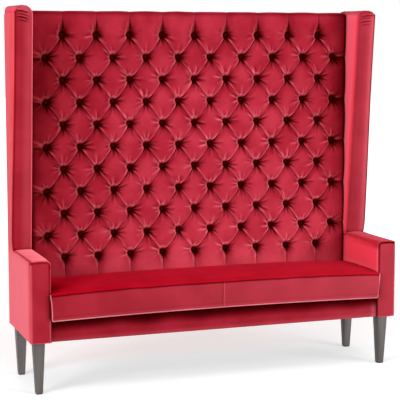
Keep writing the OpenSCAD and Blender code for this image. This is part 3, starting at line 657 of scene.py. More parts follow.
# %% A panel from a flat grid
def grid_quads(rows_n, cols_n, keep=None):
    ids = np.arange(rows_n * cols_n).reshape(rows_n, cols_n)
    quads = np.stack([ids[:-1, :-1], ids[:-1, 1:], ids[1:, 1:], ids[1:, :-1]], -1)
    return quads.reshape(-1, 4) if keep is None else quads[keep]


def flat_grid(cols, rows):
    points = np.stack(np.meshgrid(cols, rows), -1).reshape(-1, 2)
    return points, grid_quads(len(rows), len(cols))


def border_loop(quads):
    """The outline of the quads as one loop of point numbers."""
    steps = {(int(q[k]), int(q[(k + 1) % 4])) for q in quads for k in range(4)}
    following = {start: end for start, end in steps if (end, start) not in steps}
    loop = [min(following)]
    while following[loop[-1]] != loop[0]:
        loop.append(following[loop[-1]])
    return loop


def gap_to_line(points, path):
    """Distance of every flat point to a closed line of points."""
    best = np.full(len(points), 1e9)
    for start, end in zip(path, np.roll(path, -1, axis=0)):
        way = end - start
        along = np.clip(((points - start) @ way) / max(way @ way, 1e-18), 0, 1)
        best = np.minimum(best, np.hypot(*(points - start - along[:, None] * way).T))
    return best


def panel(
    name, flat, quads, place, thickness, edge_r, puff, seed, hem=None, folds=None, paint=None
):
    """Here place turns flat points and their height over the board into points in space,
    hem is the distance and depth of a stitched line, and paint gives the painted shade and
    highlight."""
    used = np.unique(quads)
    number = np.full(len(flat), -1)
    number[used] = np.arange(len(used))
    flat, quads = flat[used], number[quads]
    loop = border_loop(quads)
    gap = gap_to_line(flat, flat[loop])
    radius = edge_r(flat) if callable(edge_r) else np.full(len(flat), edge_r)
    rough = 0.5 * mm * drift(flat, 110 * mm, seed) + 0.2 * mm * drift(flat, 30 * mm, seed + 1)
    out = puff * (1 - fade_out(np.clip(gap - 4 * mm, 0, None), 45 * mm))
    out += rough * rise(gap, 2 * mm, 30 * mm) - round_off(gap, radius)
    if hem:
        out -= hem[1] * bell(gap, hem[0], 1.6 * mm)
    if folds:
        out += folds(flat) * rise(gap, 1 * mm, 12 * mm)
    face_points = place(flat[:, 0], flat[:, 1], out)
    back_points = place(flat[:, 0], flat[:, 1], np.full(len(flat), -thickness))
    n = len(flat)
    starts, ends = np.array(loop), np.roll(loop, -1)
    walls = np.stack([starts, n + starts, n + ends, ends], -1)
    faces = quads.tolist() + walls.tolist() + (n + quads[:, ::-1]).tolist()
    shades = paint(flat, gap) if paint else {}
    shades = {shade: np.concatenate([values, values]) for shade, values in shades.items()}
    return add_mesh(name, np.concatenate([face_points, back_points]), faces, 50, shades)


print("panel maker ready")

# %% [markdown]
# ## Outer sides
#
# Each outer side is one piece of velvet from the floor end of the arm to the top of the
# wing: an L laid on its back. It shares its grid lines between arm and wing, so the cloth
# runs through without a seam, as it seems to in the photograph. The wing part leans
# forward as it rises, and its top corners are small rounds.

# %% Levels and planes read from the frame
cover_low, cover_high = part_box("arm_outer_cover_right")
body_z, arm_z = cover_low.z, cover_high.z
half_w, inner_back_y = cover_high.x, cover_high.y
arm_front_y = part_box("arm_front_panel_right")[0].y
wing_seam_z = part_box("wing_outer_cover_right")[1].z
wing_top_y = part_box("wing_pad_right")[0].y + 10 * mm
wing_cover = frame["nodes"]["wing_outer_cover_right"].data.vertices
wing_low_y = min(p.co.y for p in wing_cover if p.co.z < arm_z + mm) - 3 * mm
arm_out, wing_out = 2.5 * mm, 10 * mm
print("wing fronts lean from", round(wing_low_y, 3), "to", round(wing_top_y, 3))


def wing_front(z):
    share = np.clip((z - arm_z) / (wing_seam_z - arm_z), 0, 1.02)
    return wing_low_y + (wing_top_y - wing_low_y) * share


def splay(y, z):
    """The front edges stand a little further out than the back, most of all on the wings."""
    on_wing = rise(z, arm_z - 60 * mm, arm_z + 60 * mm)
    back_share = np.clip((inner_back_y - y) / (inner_back_y - wing_front(z)), 0, 1)
    over_arm = fall(wing_low_y - y, 0, 80 * mm)
    arm_splay = arm_out * rise(inner_back_y - y, 0.1, 0.45) * (1 - on_wing)
    return wing_out * on_wing * back_share * over_arm + arm_splay


# %% The L-shaped grid and the two sides
corner_r = 14 * mm
front_roll = 11 * mm
arm_rows = lines(body_z, arm_z, 12 * mm, 10 * mm)
wing_rows = lines(arm_z, wing_seam_z, 12 * mm, 9 * mm)[1:]
side_start = arm_front_y + front_roll - 3 * mm
arm_cols = lines(side_start, wing_low_y, 12 * mm, 4 * mm)[:-1]
wing_cols = lines(wing_low_y, inner_back_y, 9 * mm, 9 * mm)
all_cols, all_rows = np.concatenate([arm_cols, wing_cols]), np.concatenate([arm_rows, wing_rows])
grid_y, grid_z = np.meshgrid(all_cols, all_rows)
corner_cut = round_off(wing_seam_z - grid_z, corner_r)
share = (grid_y - wing_low_y) / (inner_back_y - wing_low_y)
lean_start, lean_end = wing_front(grid_z) + 0.4 * corner_cut, inner_back_y - corner_cut
grid_y = np.where(grid_z > arm_z + tiny, lean_start + share * (lean_end - lean_start), grid_y)
keep = np.ones((len(all_rows) - 1, len(all_cols) - 1), bool)
keep[len(arm_rows) - 1 :, : len(arm_cols)] = False
side_flat = np.stack([grid_y.ravel(), grid_z.ravel()], -1)
side_quads = grid_quads(len(all_rows), len(all_cols), keep)


def side_edge(flat):
    in_front = (flat[:, 0] < side_start + 12 * mm) & (flat[:, 1] < arm_z - 8 * mm)
    return np.where(in_front, 0.3 * mm, 3.5 * mm)


# Painted shade along the seams and in the arm's front corner, and painted highlight along the hem
# and on the arm's side; low on the wing there is a little of both.
def side_paint(flat, gap):
    y, z = flat[:, 0], flat[:, 1]
    arm_seam = (z > arm_z - 16 * mm) & (z < arm_z + tiny) & (y < wing_low_y + mm)
    wing_seam = (z > arm_z - tiny) & (y < wing_front(z) + 14 * mm)
    top_seam = (z > wing_seam_z - 14 * mm) & ~wing_seam
    hem_sheen = (z < body_z + 9 * mm) & (gap < 9 * mm)
    seams = np.where(arm_seam, 0.32, 0.45 * wing_seam) + 0.2 * top_seam
    on_arm = fall(z, arm_z - 40 * mm, arm_z + 20 * mm)
    patchy = drift(flat * (1, 0.6), 70 * mm, 26)
    corner_shade = bell(y, side_start + 6 * mm, 16 * mm) * on_arm * (0.6 + 0.4 * patchy)
    low_wing = (1 - on_arm) * fall(z, arm_z + 0.25, arm_z + 0.65) * (0.8 + 0.3 * patchy)
    dark = seams * bell(gap, 0, 4.2 * mm) + 0.12 * corner_shade + 0.02 * low_wing
    pale = 0.35 * hem_sheen * bell(gap, 1 * mm, 3 * mm) + 0.10 * low_wing
    pale += 0.56 * on_arm * rise(y, side_start + 8 * mm, side_start + 50 * mm)
    return {"hollow": np.clip(dark, 0, 1), "lit": pale}


def side_place(y, z, out, way):
    """The inner face stays against the wing's frame, however far the outer one is splayed."""
    inner_face = (out < -2 * mm) * (z > arm_z + mm) * rise(y - wing_front(z), 8 * mm, 34 * mm)
    x = half_w - 0.5 * mm + out + splay(y, z) - inner_face * (splay(y, z) + 3 * mm)
    return np.stack([way * x, y, z], -1)


for side, way in both_sides:
    outer = panel(
        f"velvet_side_{side}", side_flat, side_quads,
        lambda y, z, out: side_place(y, z, out, way),
        thickness=half_w + mm - cover_low.x, edge_r=side_edge, puff=1.5 * mm, seed=20 + way,
        paint=side_paint,
    )
    finish(outer, lit_side_velvet, [f"arm_outer_cover_{side}", f"wing_outer_cover_{side}"])

# %% [markdown]
# ## Arm fronts
#
# The front of each arm is a narrow padded panel, rounded at its inner top corner. It wraps
# round the outer edge, so that edge is soft. On its inner side and top it is let in a little,
# and a dark seam of painted shade runs where the rolled edge of the arm's pad meets it.

# %% Arm front panels
arm_corner_r = 17 * mm
arm_in = inner_x - 5 * mm
seat_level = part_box("seat_cushion")[0].z
let_in = 6.5 * mm
front_top = arm_z - let_in
panel_r = arm_corner_r - 3 * mm
round_rows = front_top - panel_r * (1 - np.sin(np.linspace(0, math.pi / 2, 9)))
front_rows = lines(body_z, front_top, 9 * mm, 8 * mm)
front_rows = np.unique(np.concatenate([front_rows, round_rows]))
panel_w = half_w + arm_out - 0.8 * mm - arm_in
share_cols = lines(0, panel_w, 7 * mm, 12 * mm) / panel_w
cuts = round_off(front_top - front_rows, panel_r)
cuts += let_in * rise(front_rows, seat_level - 4 * mm, seat_level + 14 * mm)
front_flat = np.array([
    [arm_in + cut + s * (panel_w - cut), z] for z, cut in zip(front_rows, cuts) for s in share_cols
])


def front_edge(flat):
    return np.where(flat[:, 0] > half_w - 20 * mm, front_roll, 3 * mm)


def across(x):
    """Runs from 0 at the left end to 1 at the right, as painted light makes the fronts paler that
    way.
    """
    return np.clip((x + half_w) / (2 * half_w), 0, 1)


# Painted shade along the seams and low on the inner edge, and painted highlight along the hem and
# on the outer roll; the left front gets a pale line beside that inner edge, the right one is
# painted a little paler all over.
def front_paint(flat, gap, way):
    x, z = flat[:, 0], flat[:, 1]
    seam = (x < half_w - 22 * mm) & (z > seat_level) | (z > front_top - 10 * mm)
    low_in = (x < arm_in + 12 * mm) & (z < seat_level)
    hem_sheen = (z < body_z + 8 * mm) & (gap < 8 * mm)
    dark = 0.45 * seam * bell(gap, 0, 3.2 * mm) + 0.6 * low_in * bell(gap, 0, 1.5 * mm)
    pale = 0.3 * hem_sheen * bell(gap, 1 * mm, 3 * mm)
    pale += 0.3 * rise(x, half_w - 10 * mm, half_w - mm)
    pale += 0.3 * low_in * bell(gap, 5 * mm, 2.5 * mm) if way < 0 else 0.07
    return {"hollow": dark, "lit": pale}


for side, way in both_sides:
    arm_front = panel(
        f"velvet_arm_front_{side}", front_flat, grid_quads(len(front_rows), len(share_cols)),
        lambda x, z, out: np.stack([way * x, arm_front_y + 1.5 * mm - out, z], -1),
        thickness=13 * mm, edge_r=front_edge, puff=2.0 * mm, seed=30 + way,
        paint=lambda flat, gap: front_paint(flat, gap, way),
    )
    finish(arm_front, shaded_front_velvet, [f"arm_front_panel_{side}"])

# %% [markdown]
# ## Arm pads
#
# One piece of velvet covers the inner side and the top of each arm. It is a section drawn
# once, in X and Z, and carried from the arm's front to the wing. The top swells a little,
# the inner top corner starts as round as on the arm front, and the cloth has the slight
# ripples of velvet over foam. Behind, the section runs on under the wing.

# %% Arm pad by carrying a section
def carried(name, rings, shades=None, angle=60):
    """A closed skin through rings of points, with a flat face on each end."""
    m, n = rings.shape[:2]
    ids = np.arange(m * n).reshape(m, n)
    after = np.roll(ids, -1, axis=1)
    quads = np.stack([ids[:-1], after[:-1], after[1:], ids[1:]], -1).reshape(-1, 4)
    faces = quads.tolist() + [ids[0][::-1].tolist(), ids[-1].tolist()]
    return add_mesh(name, rings.reshape(-1, 3), faces, angle, shades)


def arc_points(cx, cz, r, start, end, steps):
    a = np.radians(np.linspace(start, end, steps + 1))
    return np.stack([cx + r * np.cos(a), cz + r * np.sin(a)], -1)


def between(start, end, count):
    return np.linspace(start, end, count + 1)[:-1]


arm_pad_low, arm_pad_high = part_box("arm_pad_right")
panel_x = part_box("arm_inner_panel_right")[0].x
pad_top_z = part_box("arm_top_rail_right")[1].z
seat_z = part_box("cushion_piping")[1].z
pad_swell_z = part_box("seat_deck")[1].z + 0.11
outer_x = half_w - 3.4 * mm


def arm_section(r):
    """The pad's outline in X and Z, with a round of radius r at its inner top corner."""
    hidden = np.array([(outer_x, pad_top_z), (panel_x, pad_top_z), (panel_x, arm_pad_low.z)])
    return np.concatenate([
        between((arm_in, arm_pad_low.z), (arm_in, arm_z - r), 26),
        arc_points(arm_in + r, arm_z - r, r, 180, 90, 8)[:-1],
        between((arm_in + r, arm_z), (outer_x - 4 * mm, arm_z), 9),
        arc_points(outer_x - 4 * mm, arm_z - 4 * mm, 4 * mm, 90, 0, 4),
        hidden,
    ])


section_n = len(arm_section(arm_corner_r))
shown = np.arange(section_n) < section_n - 3
pad_places = lines(arm_front_y + 3 * mm, wing_low_y + 2 * mm, 9 * mm, 8 * mm)
print("points in the arm's section:", section_n)

# %% The two arm pads
def arm_pad_rings(seed, top_pale, top_dark):
    rings, dark, pale = [], [], []
    for place in pad_places:
        from_front, from_wing = place - pad_places[0], pad_places[-1] - place
        r = arm_corner_r - 8 * mm * rise(from_front, 5 * mm, 90 * mm)
        x, z = arm_section(r).T
        on_top = rise(z, arm_z - r - 14 * mm, arm_z - r / 2) * shown
        inside = fall(x, arm_in + 0.2 * r, arm_in + 1.2 * r) * shown
        over = np.clip((x - arm_in) / (outer_x - arm_in), 0, 1)
        high = np.clip((z - pad_swell_z) / (arm_z - pad_swell_z), 0, 1)
        turned = round_off(from_front, 7 * mm) + round_off(from_wing, 4 * mm)
        ring = np.stack([x, np.full(section_n, place), z], -1)
        ripple = 0.6 * mm * drift(ring, 70 * mm, seed)
        ring[:, 2] += (2.6 * mm * np.sin(math.pi * over) + ripple - turned) * on_top
        ring[:, 0] += (turned - 2.0 * mm * np.sin(math.pi * high) + ripple) * inside
        rings.append(ring)
        # Painted shade along the seams and under the top roll, and painted highlight on the front
        # lip and by the seat; the top gets one or the other.
        outer_seam = 0.32 * bell(outer_x, x, 4.5 * mm) * (z > arm_z - 12 * mm)
        under_roll = 0.22 * bell(z, arm_z - 24 * mm, 13 * mm) * (1 - 0.7 * min(from_front / 0.3, 1))
        front_seam = 0.55 * bell(from_front, 0, 2 * mm)
        front_lip = 0.5 * bell(from_front, 6 * mm, 3.2 * mm)
        by_seat = 0.28 * bell(z, seat_z + 10 * mm, 7 * mm) * (top_dark > 0)
        shade = outer_seam + front_seam + under_roll * inside + top_dark * on_top
        dark.append(np.clip(shade * shown, 0, 1))
        pale.append((front_lip + top_pale * on_top + by_seat * inside) * shown)
    return np.array(rings), np.array(dark), np.array(pale)


# The left arm's top gets a painted highlight and the right one painted shade.
for (side, way), top_pale, top_dark in zip(both_sides, (0.15, 0.0), (0.0, 0.26)):
    rings, dark, pale = arm_pad_rings(40 + way, top_pale, top_dark)
    x, y, z = rings[-1].T
    z = np.minimum(z, pad_top_z)
    x = np.where(z > pad_top_z - tiny, np.minimum(x, panel_x), x)
    under_wing = [np.stack([x, end, z], -1) for end in (y + 0.3 * mm, 0 * y + arm_pad_high.y)]
    rings = np.concatenate([rings, under_wing]) * (way, 1, 1)
    shades = {"hollow": np.concatenate([dark, dark[-2:]]), "lit": np.concatenate([pale, pale[-2:]])}
    pad = carried(f"velvet_arm_pad_{side}", rings, shades)
    paint_side_sheen(pad)
    finish(pad, lit_side_velvet, [f"arm_pad_{side}"])

# %% [markdown]
# ## Wings
#
# A wing is a slim padded board that stands on the arm and leans forward as it rises. The
# velvet goes round its front edge in a soft curve on the inner side and meets the outer
# side in a seam. On top it is drawn over a rounded crown, and the spare cloth lies there
# in a few curved wrinkles and small gathers. The wing is a stack of outlines from the arm
# up, the last of which shrink to form the crown.

# %% Outline of a wing at one level
def wing_outline(z, top, corner):
    """The outline's points, which of its six sides each is on, and how far along it."""

    def drawn_in(r):
        return float(round_off(max(top - z, 0), r))

    x1, x2 = wing_in + drawn_in(44 * mm), outer_x - drawn_in(34 * mm)
    back_x1, back_x2 = wing_in + drawn_in(26 * mm), outer_x - drawn_in(22 * mm)
    y1, y2 = wing_front(z) + drawn_in(20 * mm), inner_back_y - drawn_in(14 * mm)
    x2 += float(splay(np.array(y1), np.array(z))) * (z < top - 0.1 * mm)
    r, q = min(corner, (x2 - x1) * 0.45), min(3 * mm, (x2 - x1) * 0.2)
    parts = [
        between((back_x2, y2), (x2, y1 + q), 8),
        arc_points(x2 - q, y1 + q, q, 0, -90, 4)[:-1],
        between((x2 - q, y1), (x1 + r, y1), 14),
        arc_points(x1 + r, y1 + r, r, -90, -180, 12)[:-1],
        between((x1, y1 + r), (back_x1, y2), 20),
        between((back_x1, y2), (back_x2, y2), 5),
    ]
    kinds = np.concatenate([np.full(len(part), k) for k, part in enumerate(parts)])
    places = np.concatenate([between(0, 1, len(part)) for part in parts])
    return np.concatenate(parts), kinds, places


outer_corner, front_side, inner_corner, inner_side = 1, 2, 3, 4
wing_in = inner_x - 3 * mm
wing_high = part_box("wing_pad_right")[1].z
wing_crown_h = 40 * mm
wrinkled_z = wing_high - 95 * mm
plain_levels = lines(arm_z - 12 * mm, wrinkled_z, 9 * mm, 6 * mm)
print("plain levels in a wing:", len(plain_levels))

# %% Wrinkles at the top and at the foot of a wing
def wrinkles(ring, turned, z, seed, top, strong):
    """Moves the ring in place and returns the painted shade in its folds and the painted highlight
    above them.
    """
    over = np.clip((ring[:, 0] - inner_x) / (outer_x - inner_x), 0, 1)
    shape = (1 - 0.6 * np.abs(2 * over - 1) ** 3) * turned
    bent = 1 if strong > 0.5 else 0.4
    wave = np.random.RandomState(seed)
    dark, pale = np.zeros(len(ring)), np.zeros(len(ring))
    for k in range(4):
        sag = wave.uniform(16, 26) * bent * (1 - over) ** 1.8
        level = top - (25 + 14 * k + sag - wave.uniform(1, 4) * np.sin(math.pi * over)) * mm
        start, end = wave.uniform(-0.05, 0.2), wave.uniform(0.80, 1.05)
        run = shape * hill(over, start, start + 0.25, end - 0.2, end + 0.05) * (0.6 if k % 2 else 1)
        dent = bell(z, level, 3.6 * mm) * run
        ring[:, 1] += 3.6 * mm * dent
        dark += strong * dent
        pale += 0.40 * strong * bell(z, level + 6 * mm, 2.8 * mm) * run
    crown_share = np.clip((z - top + 46 * mm) / (10 * mm), 0, 1)
    gathers = 0.9 * mm * crown_share * drift(ring[:, :2], 13 * mm, seed + 9)
    ring[:, 2] += gathers * 0.7 * (z > top - 39 * mm)
    ring[:, 1] += gathers * turned
    low = math.exp(-max(z - arm_z, 0) / (16 * mm))
    ring[:, 1] += 1.3 * mm * low * drift(ring, 17 * mm, seed + 5) * turned
    return dark, pale


# %% The two wings
def wing_rings(seed, rim, top, strong, corner):
    rings, dark_rings, pale_rings = [], [], []
    crown_z = top - wing_crown_h
    folded = np.linspace(wrinkled_z, crown_z, 21)[1:-1]
    crown_levels = top - wing_crown_h * (1 - np.sin(np.radians(np.linspace(0, 88, 19))))
    for z in np.concatenate([plain_levels, folded, crown_levels]):
        outline, kinds, places = wing_outline(z, top, corner)
        ring = np.concatenate([outline, np.full((len(outline), 1), z)], -1)
        at = [kinds == k for k in range(6)]
        around = (kinds >= outer_corner) & (kinds <= inner_corner)
        above_arm, on_crown = z - arm_z, rise(z, crown_z, top - 10 * mm)
        body = 1 - on_crown
        swell = rise(above_arm, 0, 60 * mm) * fall(z, top - 70 * mm, top - 20 * mm)
        inner_swell = np.sin(math.pi * np.clip(places * 2, 0, 1))
        ring[:, 1] -= 2.2 * mm * swell * np.sin(math.pi * places) * at[front_side]
        ring[:, 0] -= 1.2 * mm * swell * inner_swell * at[inner_side]
        tuck = 5 * mm * math.exp(-((max(above_arm, 0) / (4 * mm)) ** 1.5))
        tuck += 3 * mm * (above_arm < 0)
        ring[:, 1] += tuck * around
        ring[:, 0] += 0.4 * tuck * at[inner_side]
        wobble = 0.7 * mm * drift(ring, 60 * mm, seed)
        wobble += 0.25 * mm * drift(ring * (1, 1, 0.25), 30 * mm, seed + 3)
        ring[:, 1] -= wobble * around * min(max(above_arm, 0) / (20 * mm), 1)
        dark, pale = wrinkles(ring, around, z, seed, top, strong)
        seam = 0.50 * at[outer_corner] + 0.25 * at[front_side] * np.exp(-places * 20)
        foot_line = 0.35 * bell(above_arm, 0, 3 * mm) * around
        back_gap = 0.6 * at[inner_side] * rise(places, 0.80, 0.98)
        # Both wings get painted shade in their seams, at their foot and in the gap at their back.
        # The left one gets a painted sheen along its inner corner and a painted highlight on its
        # crown, the right one painted light on its inner side and front.
        if rim:  # the left wing, pale along its inner corner and on its crown
            cast = 0.07 * at[front_side] * rise(z, top - 0.45, top - 0.15) * body
            edge = at[inner_corner] * bell(places, 0.80, 0.18)
            towards = at[front_side] * rise(places, 0.4, 1.0) + at[inner_corner]
            sides, on_top = rim * (edge + 0.12 * towards), 0.14 * on_crown
        else:  # the right wing, pale on its inner side, which faces the key lamp
            cast = 0.08 * at[inner_corner] * fall(places, 0.55, 0.9) + 0.09 * (kinds < 3) * on_crown
            cast += 0.05 * at[front_side] * rise(places, 0.5, 1.0) ** 2
            sides = 0.42 * at[inner_side] * (0.75 + 0.25 * bell(places, 0.38, 0.34))
            sides += 0.20 * at[front_side] * fall(places, 0.1, 0.7)
            sides, on_top = sides + 0.06 * (at[front_side] | at[inner_corner]), 0
        dark_rings.append(np.clip(dark + (seam + foot_line) * body + cast + back_gap, 0, 1))
        pale_rings.append(np.clip(pale + sides * (1 - 0.5 * on_crown) + on_top, 0, 0.8))
        rings.append(ring)
    return np.array(rings), np.array(dark_rings), np.array(pale_rings)


wings = (
    ("left", -1, 0.8, 1 * mm, 0.62, 28 * mm, 0.5),
    ("right", 1, 0.0, -11 * mm, 0.36, 36 * mm, 0.74),
)
for side, way, rim, higher, strong, corner, start in wings:
    rings, dark, pale = wing_rings(50 + way, rim, wing_high + higher, strong, corner)
    shades = {"hollow": dark, "lit": pale}
    wing = carried(f"velvet_wing_{side}", rings * (way, 1, 1), shades)
    paint_side_sheen(wing, start)
    finish(wing, shaded_front_velvet, [f"wing_pad_{side}"])

# %% [markdown]
# ## The bench cushion
#
# The cushion is one long boxed pad. Its front band stands almost upright and bulges a
# little, its top is crowned, and a seam down the middle pulls both in. The foam is soft,
# so the lower edge of the band sags a few millimetres towards the ends. The outline in Y
# and Z is worked out at many places along the cushion, and each is a ring of the skin:
# y1 and y2 are its front and back, and z0, z1 and z2 its foot, deck and top.

# %% Outline of the cushion at one place
cushion_low, cushion_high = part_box("seat_cushion")
front_y, deck_z = cushion_low.y, cushion_low.z
half_cushion = arm_in - 1.5 * mm
end_r = 6 * mm
band_n = 15  # points up the front band, which come first; the lip's follow
crown_h, lift, bulge_h, groove_h, inset = 5 * mm, 15 * mm, 4.5 * mm, 2.2 * mm, 10 * mm


def cushion_outline(place):
    a = abs(place) / half_cushion
    seam, seam_wide = bell(place, 0, 5 * mm), math.exp(-abs(place) / (60 * mm))
    crown = crown_h - 1.6 * mm * seam - 1.2 * mm * seam_wide
    y1, y2 = front_y + 1.2 * mm * seam, cushion_high.y
    z0, z1 = deck_z + 3 * mm * (1 - a**2) - 7 * mm * a**2, deck_z
    z2 = seat_z + lift * (1 - a**3.4)
    up = np.linspace(0, 1, band_n)
    bulge = bulge_h * np.sin(math.pi * up) ** 0.8 * (1 - 0.35 * seam_wide)
    band_z = z0 + 3 * mm + up * (z2 - 13 * mm - z0)
    band_y = y1 + 4 * mm - bulge + groove_h * bell(band_z, z2 - 10 * mm, 3 * mm)
    back = np.linspace(0, 1, 34)
    top_y = y1 + inset + back * (y2 - 6 * mm - y1 - inset)
    top_z = z2 + 1 * mm + crown * (1 - np.abs(2 * back - 1) ** 2.2) - 3 * mm * back**3
    under_y = np.linspace(front_y + 40 * mm, y1 + 6 * mm, 6)
    under_z = z1 + (z0 - z1) * rise(-(under_y - front_y), -38 * mm, -8 * mm)
    return np.concatenate([
        np.stack([band_y, band_z], -1),
        arc_points(y1 + inset, z2 - 7.5 * mm, 8.5 * mm, 195, 95, 7),
        np.stack([top_y, top_z], -1)[1:],
        between((y2, z2 - 6 * mm), (y2, z1 + 4 * mm), 6),
        between((y2 - 4 * mm, z1), (front_y + 45 * mm, z1), 8),
        np.stack([under_y, under_z], -1),
    ])


print("points in the cushion's outline:", len(cushion_outline(0.0)))

# %% Swell a case with a cloth simulation
def points_of(mesh):
    values = np.empty(len(mesh.vertices) * 3, np.float32)
    mesh.vertices.foreach_get("co", values)
    return values.reshape(-1, 3).astype(float)


def swell(piece, held, voxel, pressure, frames, cap):
    """Blows up an even copy of the piece as cloth, and carries its movement back."""
    copy = piece.copy()
    copy.data = piece.data.copy()
    bpy.context.collection.objects.link(copy)
    pick(copy)
    even = copy.modifiers.new("Even", "REMESH")
    even.mode, even.voxel_size = "VOXEL", voxel
    bpy.ops.object.modifier_apply(modifier=even.name)
    start = points_of(copy.data)
    group = copy.vertex_groups.new(name="held")
    group.add(np.flatnonzero(held(start)).tolist(), 1.0, "REPLACE")
    cloth = copy.modifiers.new("Cloth", "CLOTH")
    cloth.settings.quality = 4
    cloth.settings.use_pressure = True
    cloth.settings.uniform_pressure_force = pressure
    cloth.settings.effector_weights.gravity = 0
    cloth.settings.vertex_group_mass = group.name
    cloth.collision_settings.use_collision = False
    for number in range(1, frames + 1):
        bpy.context.scene.frame_set(number)
    ready = copy.evaluated_get(bpy.context.evaluated_depsgraph_get())
    move = points_of(ready.data) - start
    move *= np.minimum(1, cap / np.maximum(np.linalg.norm(move, axis=1), 1e-9))[:, None]
    bpy.context.scene.frame_set(1)
    bpy.data.objects.remove(copy)
    tree = KDTree(len(start))
    for k, point in enumerate(start):
        tree.insert(point, k)
    tree.balance()
    for point in piece.data.vertices:
        near = tree.find_n(point.co, 5)
        weights = np.array([1 / (gap + mm) for _, _, gap in near])
        point.co += Vector(weights @ move[[k for _, k, _ in near]] / weights.sum())
    piece.data.update()
    swelled = round(float(np.abs(move).max()) / mm, 1)
    print(piece.name, "swelled by up to", swelled, "mm on", len(start), "points")


# %% Skin of the cushion
middle_lines = np.array([1.5, 3.5, 6, 9, 13, 18, 25, 34]) * mm
half_lines = np.concatenate([middle_lines, lines(44 * mm, half_cushion, 9 * mm, end_r)])
cushion_places = np.concatenate([-half_lines[::-1], [0], half_lines])
centre = np.array([(front_y + cushion_high.y) / 2, (deck_z + seat_z) / 2])
half_size = np.array([(cushion_high.y - front_y) / 2, (seat_z - deck_z) / 2])
rings = []
for place in cushion_places:
    turned = round_off(half_cushion - abs(place), end_r)
    outline = centre + (cushion_outline(place) - centre) * (1 - turned * 0.8 / half_size)
    rings.append(np.concatenate([np.full((len(outline), 1), place), outline], -1))
rings = np.array(rings)
x, y, z = (rings[:, :, k] for k in range(3))  # views: what moves them moves the rings
flat_points = rings.reshape(-1, 3)
lumps = 1.1 * mm * drift(flat_points, 150 * mm, 61) + 0.35 * mm * drift(flat_points, 45 * mm, 62)
lumps = lumps.reshape(x.shape) * rise(z, deck_z + 8 * mm, deck_z + 20 * mm)
z += lumps * fall(y, cushion_high.y - 30 * mm, cushion_high.y) * (z > seat_z - 6 * mm)
y += lumps * (z < seat_z - 12 * mm) * (y < front_y + 20 * mm)
in_front = rise(-y, -arm_front_y - 4 * mm, -arm_front_y + 12 * mm)
near_end = rise(np.abs(x), half_cushion - 70 * mm, half_cushion)
up_share = np.clip((z - deck_z) / (seat_z - deck_z), 0, 1)
x += np.where(x < 0, -5 * up_share - 3, 8.5 * up_share - 6) * mm * in_front * near_end
print("places along the cushion:", len(cushion_places))

# %% Its seams, its painted shade and highlight, and the swelled case
foot_z, lip_z = z[:, :1], z[:, band_n : band_n + 1]
seam_z = lip_z - 2 * mm
from_arm = half_cushion - np.abs(x[:, 2 * band_n][:, None])
at_front = y < front_y + 14 * mm
on_top, on_band = ~at_front, at_front & (z < seam_z)
share = across(x)
# Painted shade in the seams, in the gaps beside the arms and in their shade, darker to the left and
# behind the lip; painted highlight beside the middle seam, on the band towards the right and on the
# fold by the piping.
dark = (
    0.55 * bell(z, seam_z, 2.8 * mm) * at_front  # the seam under the lip
    + 0.42 * bell(z, foot_z + 13 * mm, 2.6 * mm) * at_front  # the line above the piping
    # painted shadow of the left arm on the top
    + 0.5 * fade_out(from_arm, 60 * mm) * (x < 0) * bell(y, front_y + 0.13, 0.10) * on_top
    + 0.22 * bell(x, -1 * mm, 2.2 * mm) * on_band  # the seam down the middle
    + 0.05 * bell(x, 0, 2.5 * mm)
    + (0.75 - 0.5 * in_front) * bell(from_arm, 0, 2 * mm)  # the gaps beside the arms
    + 0.34 * fade_out(from_arm, 24 * mm) * on_top  # in the shade of the arms
    + 0.06 * (1 - share) ** 1.5  # darker to the left
    + 0.13 * bell(z, lip_z + 3 * mm, 6 * mm) * (y < front_y + 30 * mm) * ~on_band
)
pale = (
    0.16 * bell(x, 4.5 * mm, 3 * mm) * on_band
    + 0.08 * share * on_band
    + 0.03 * share
    + 0.12 * bell(z, foot_z + 5 * mm, 4 * mm) * at_front  # the fold by the piping
)
shades = {"hollow": np.clip(dark, 0, 1), "lit": pale}
cushion = carried("velvet_cushion", rings, shades, angle=50)


def held_still(points):
    """Where the seams, the arms, the back and the seat deck keep the case still."""
    x, y, z = points.T
    lip_here = np.interp(x, cushion_places, lip_z[:, 0])
    by_lip = np.hypot(y - front_y - 3 * mm, z - lip_here) < 11 * mm
    by_end = (np.abs(x) < 6 * mm) | (np.abs(x) > half_cushion - 12 * mm)
    return by_lip | by_end | (z < deck_z + 14 * mm) | (y > cushion_high.y - 14 * mm)


swell(cushion, held_still, voxel=7 * mm, pressure=4.0, frames=20, cap=5 * mm)
finish(cushion, seat_velvet, ["seat_cushion", "cushion_back_band"])
# The front band takes the darker copy of the velvet: painted shade on the faces that look to the
# front.
cushion.data.materials.append(shaded_front_velvet)
for face in cushion.data.polygons:
    spot = min(face.vertices[0] // rings.shape[1], len(rings) - 1)
    face.material_index = int(face.normal.y < -0.5 and face.center.z < seam_z[spot, 0])


# %% Piping along the foot of the band and up its two ends
piping_r, piping_n = 2.5 * mm, 8


def tube(name, path):
    way = np.gradient(path, axis=0)
    way /= np.linalg.norm(way, axis=1)[:, None]
    up = np.tile((0.0, -1.0, 0.35), (len(path), 1))
    up -= (up * way).sum(1)[:, None] * way
    up /= np.linalg.norm(up, axis=1)[:, None]
    aside = np.cross(way, up)
    a = np.linspace(0, 2 * math.pi, piping_n, endpoint=False)[None, :, None]
    around = np.cos(a) * up[:, None] + np.sin(a) * aside[:, None]
    return carried(name, path[:, None] + piping_r * around)


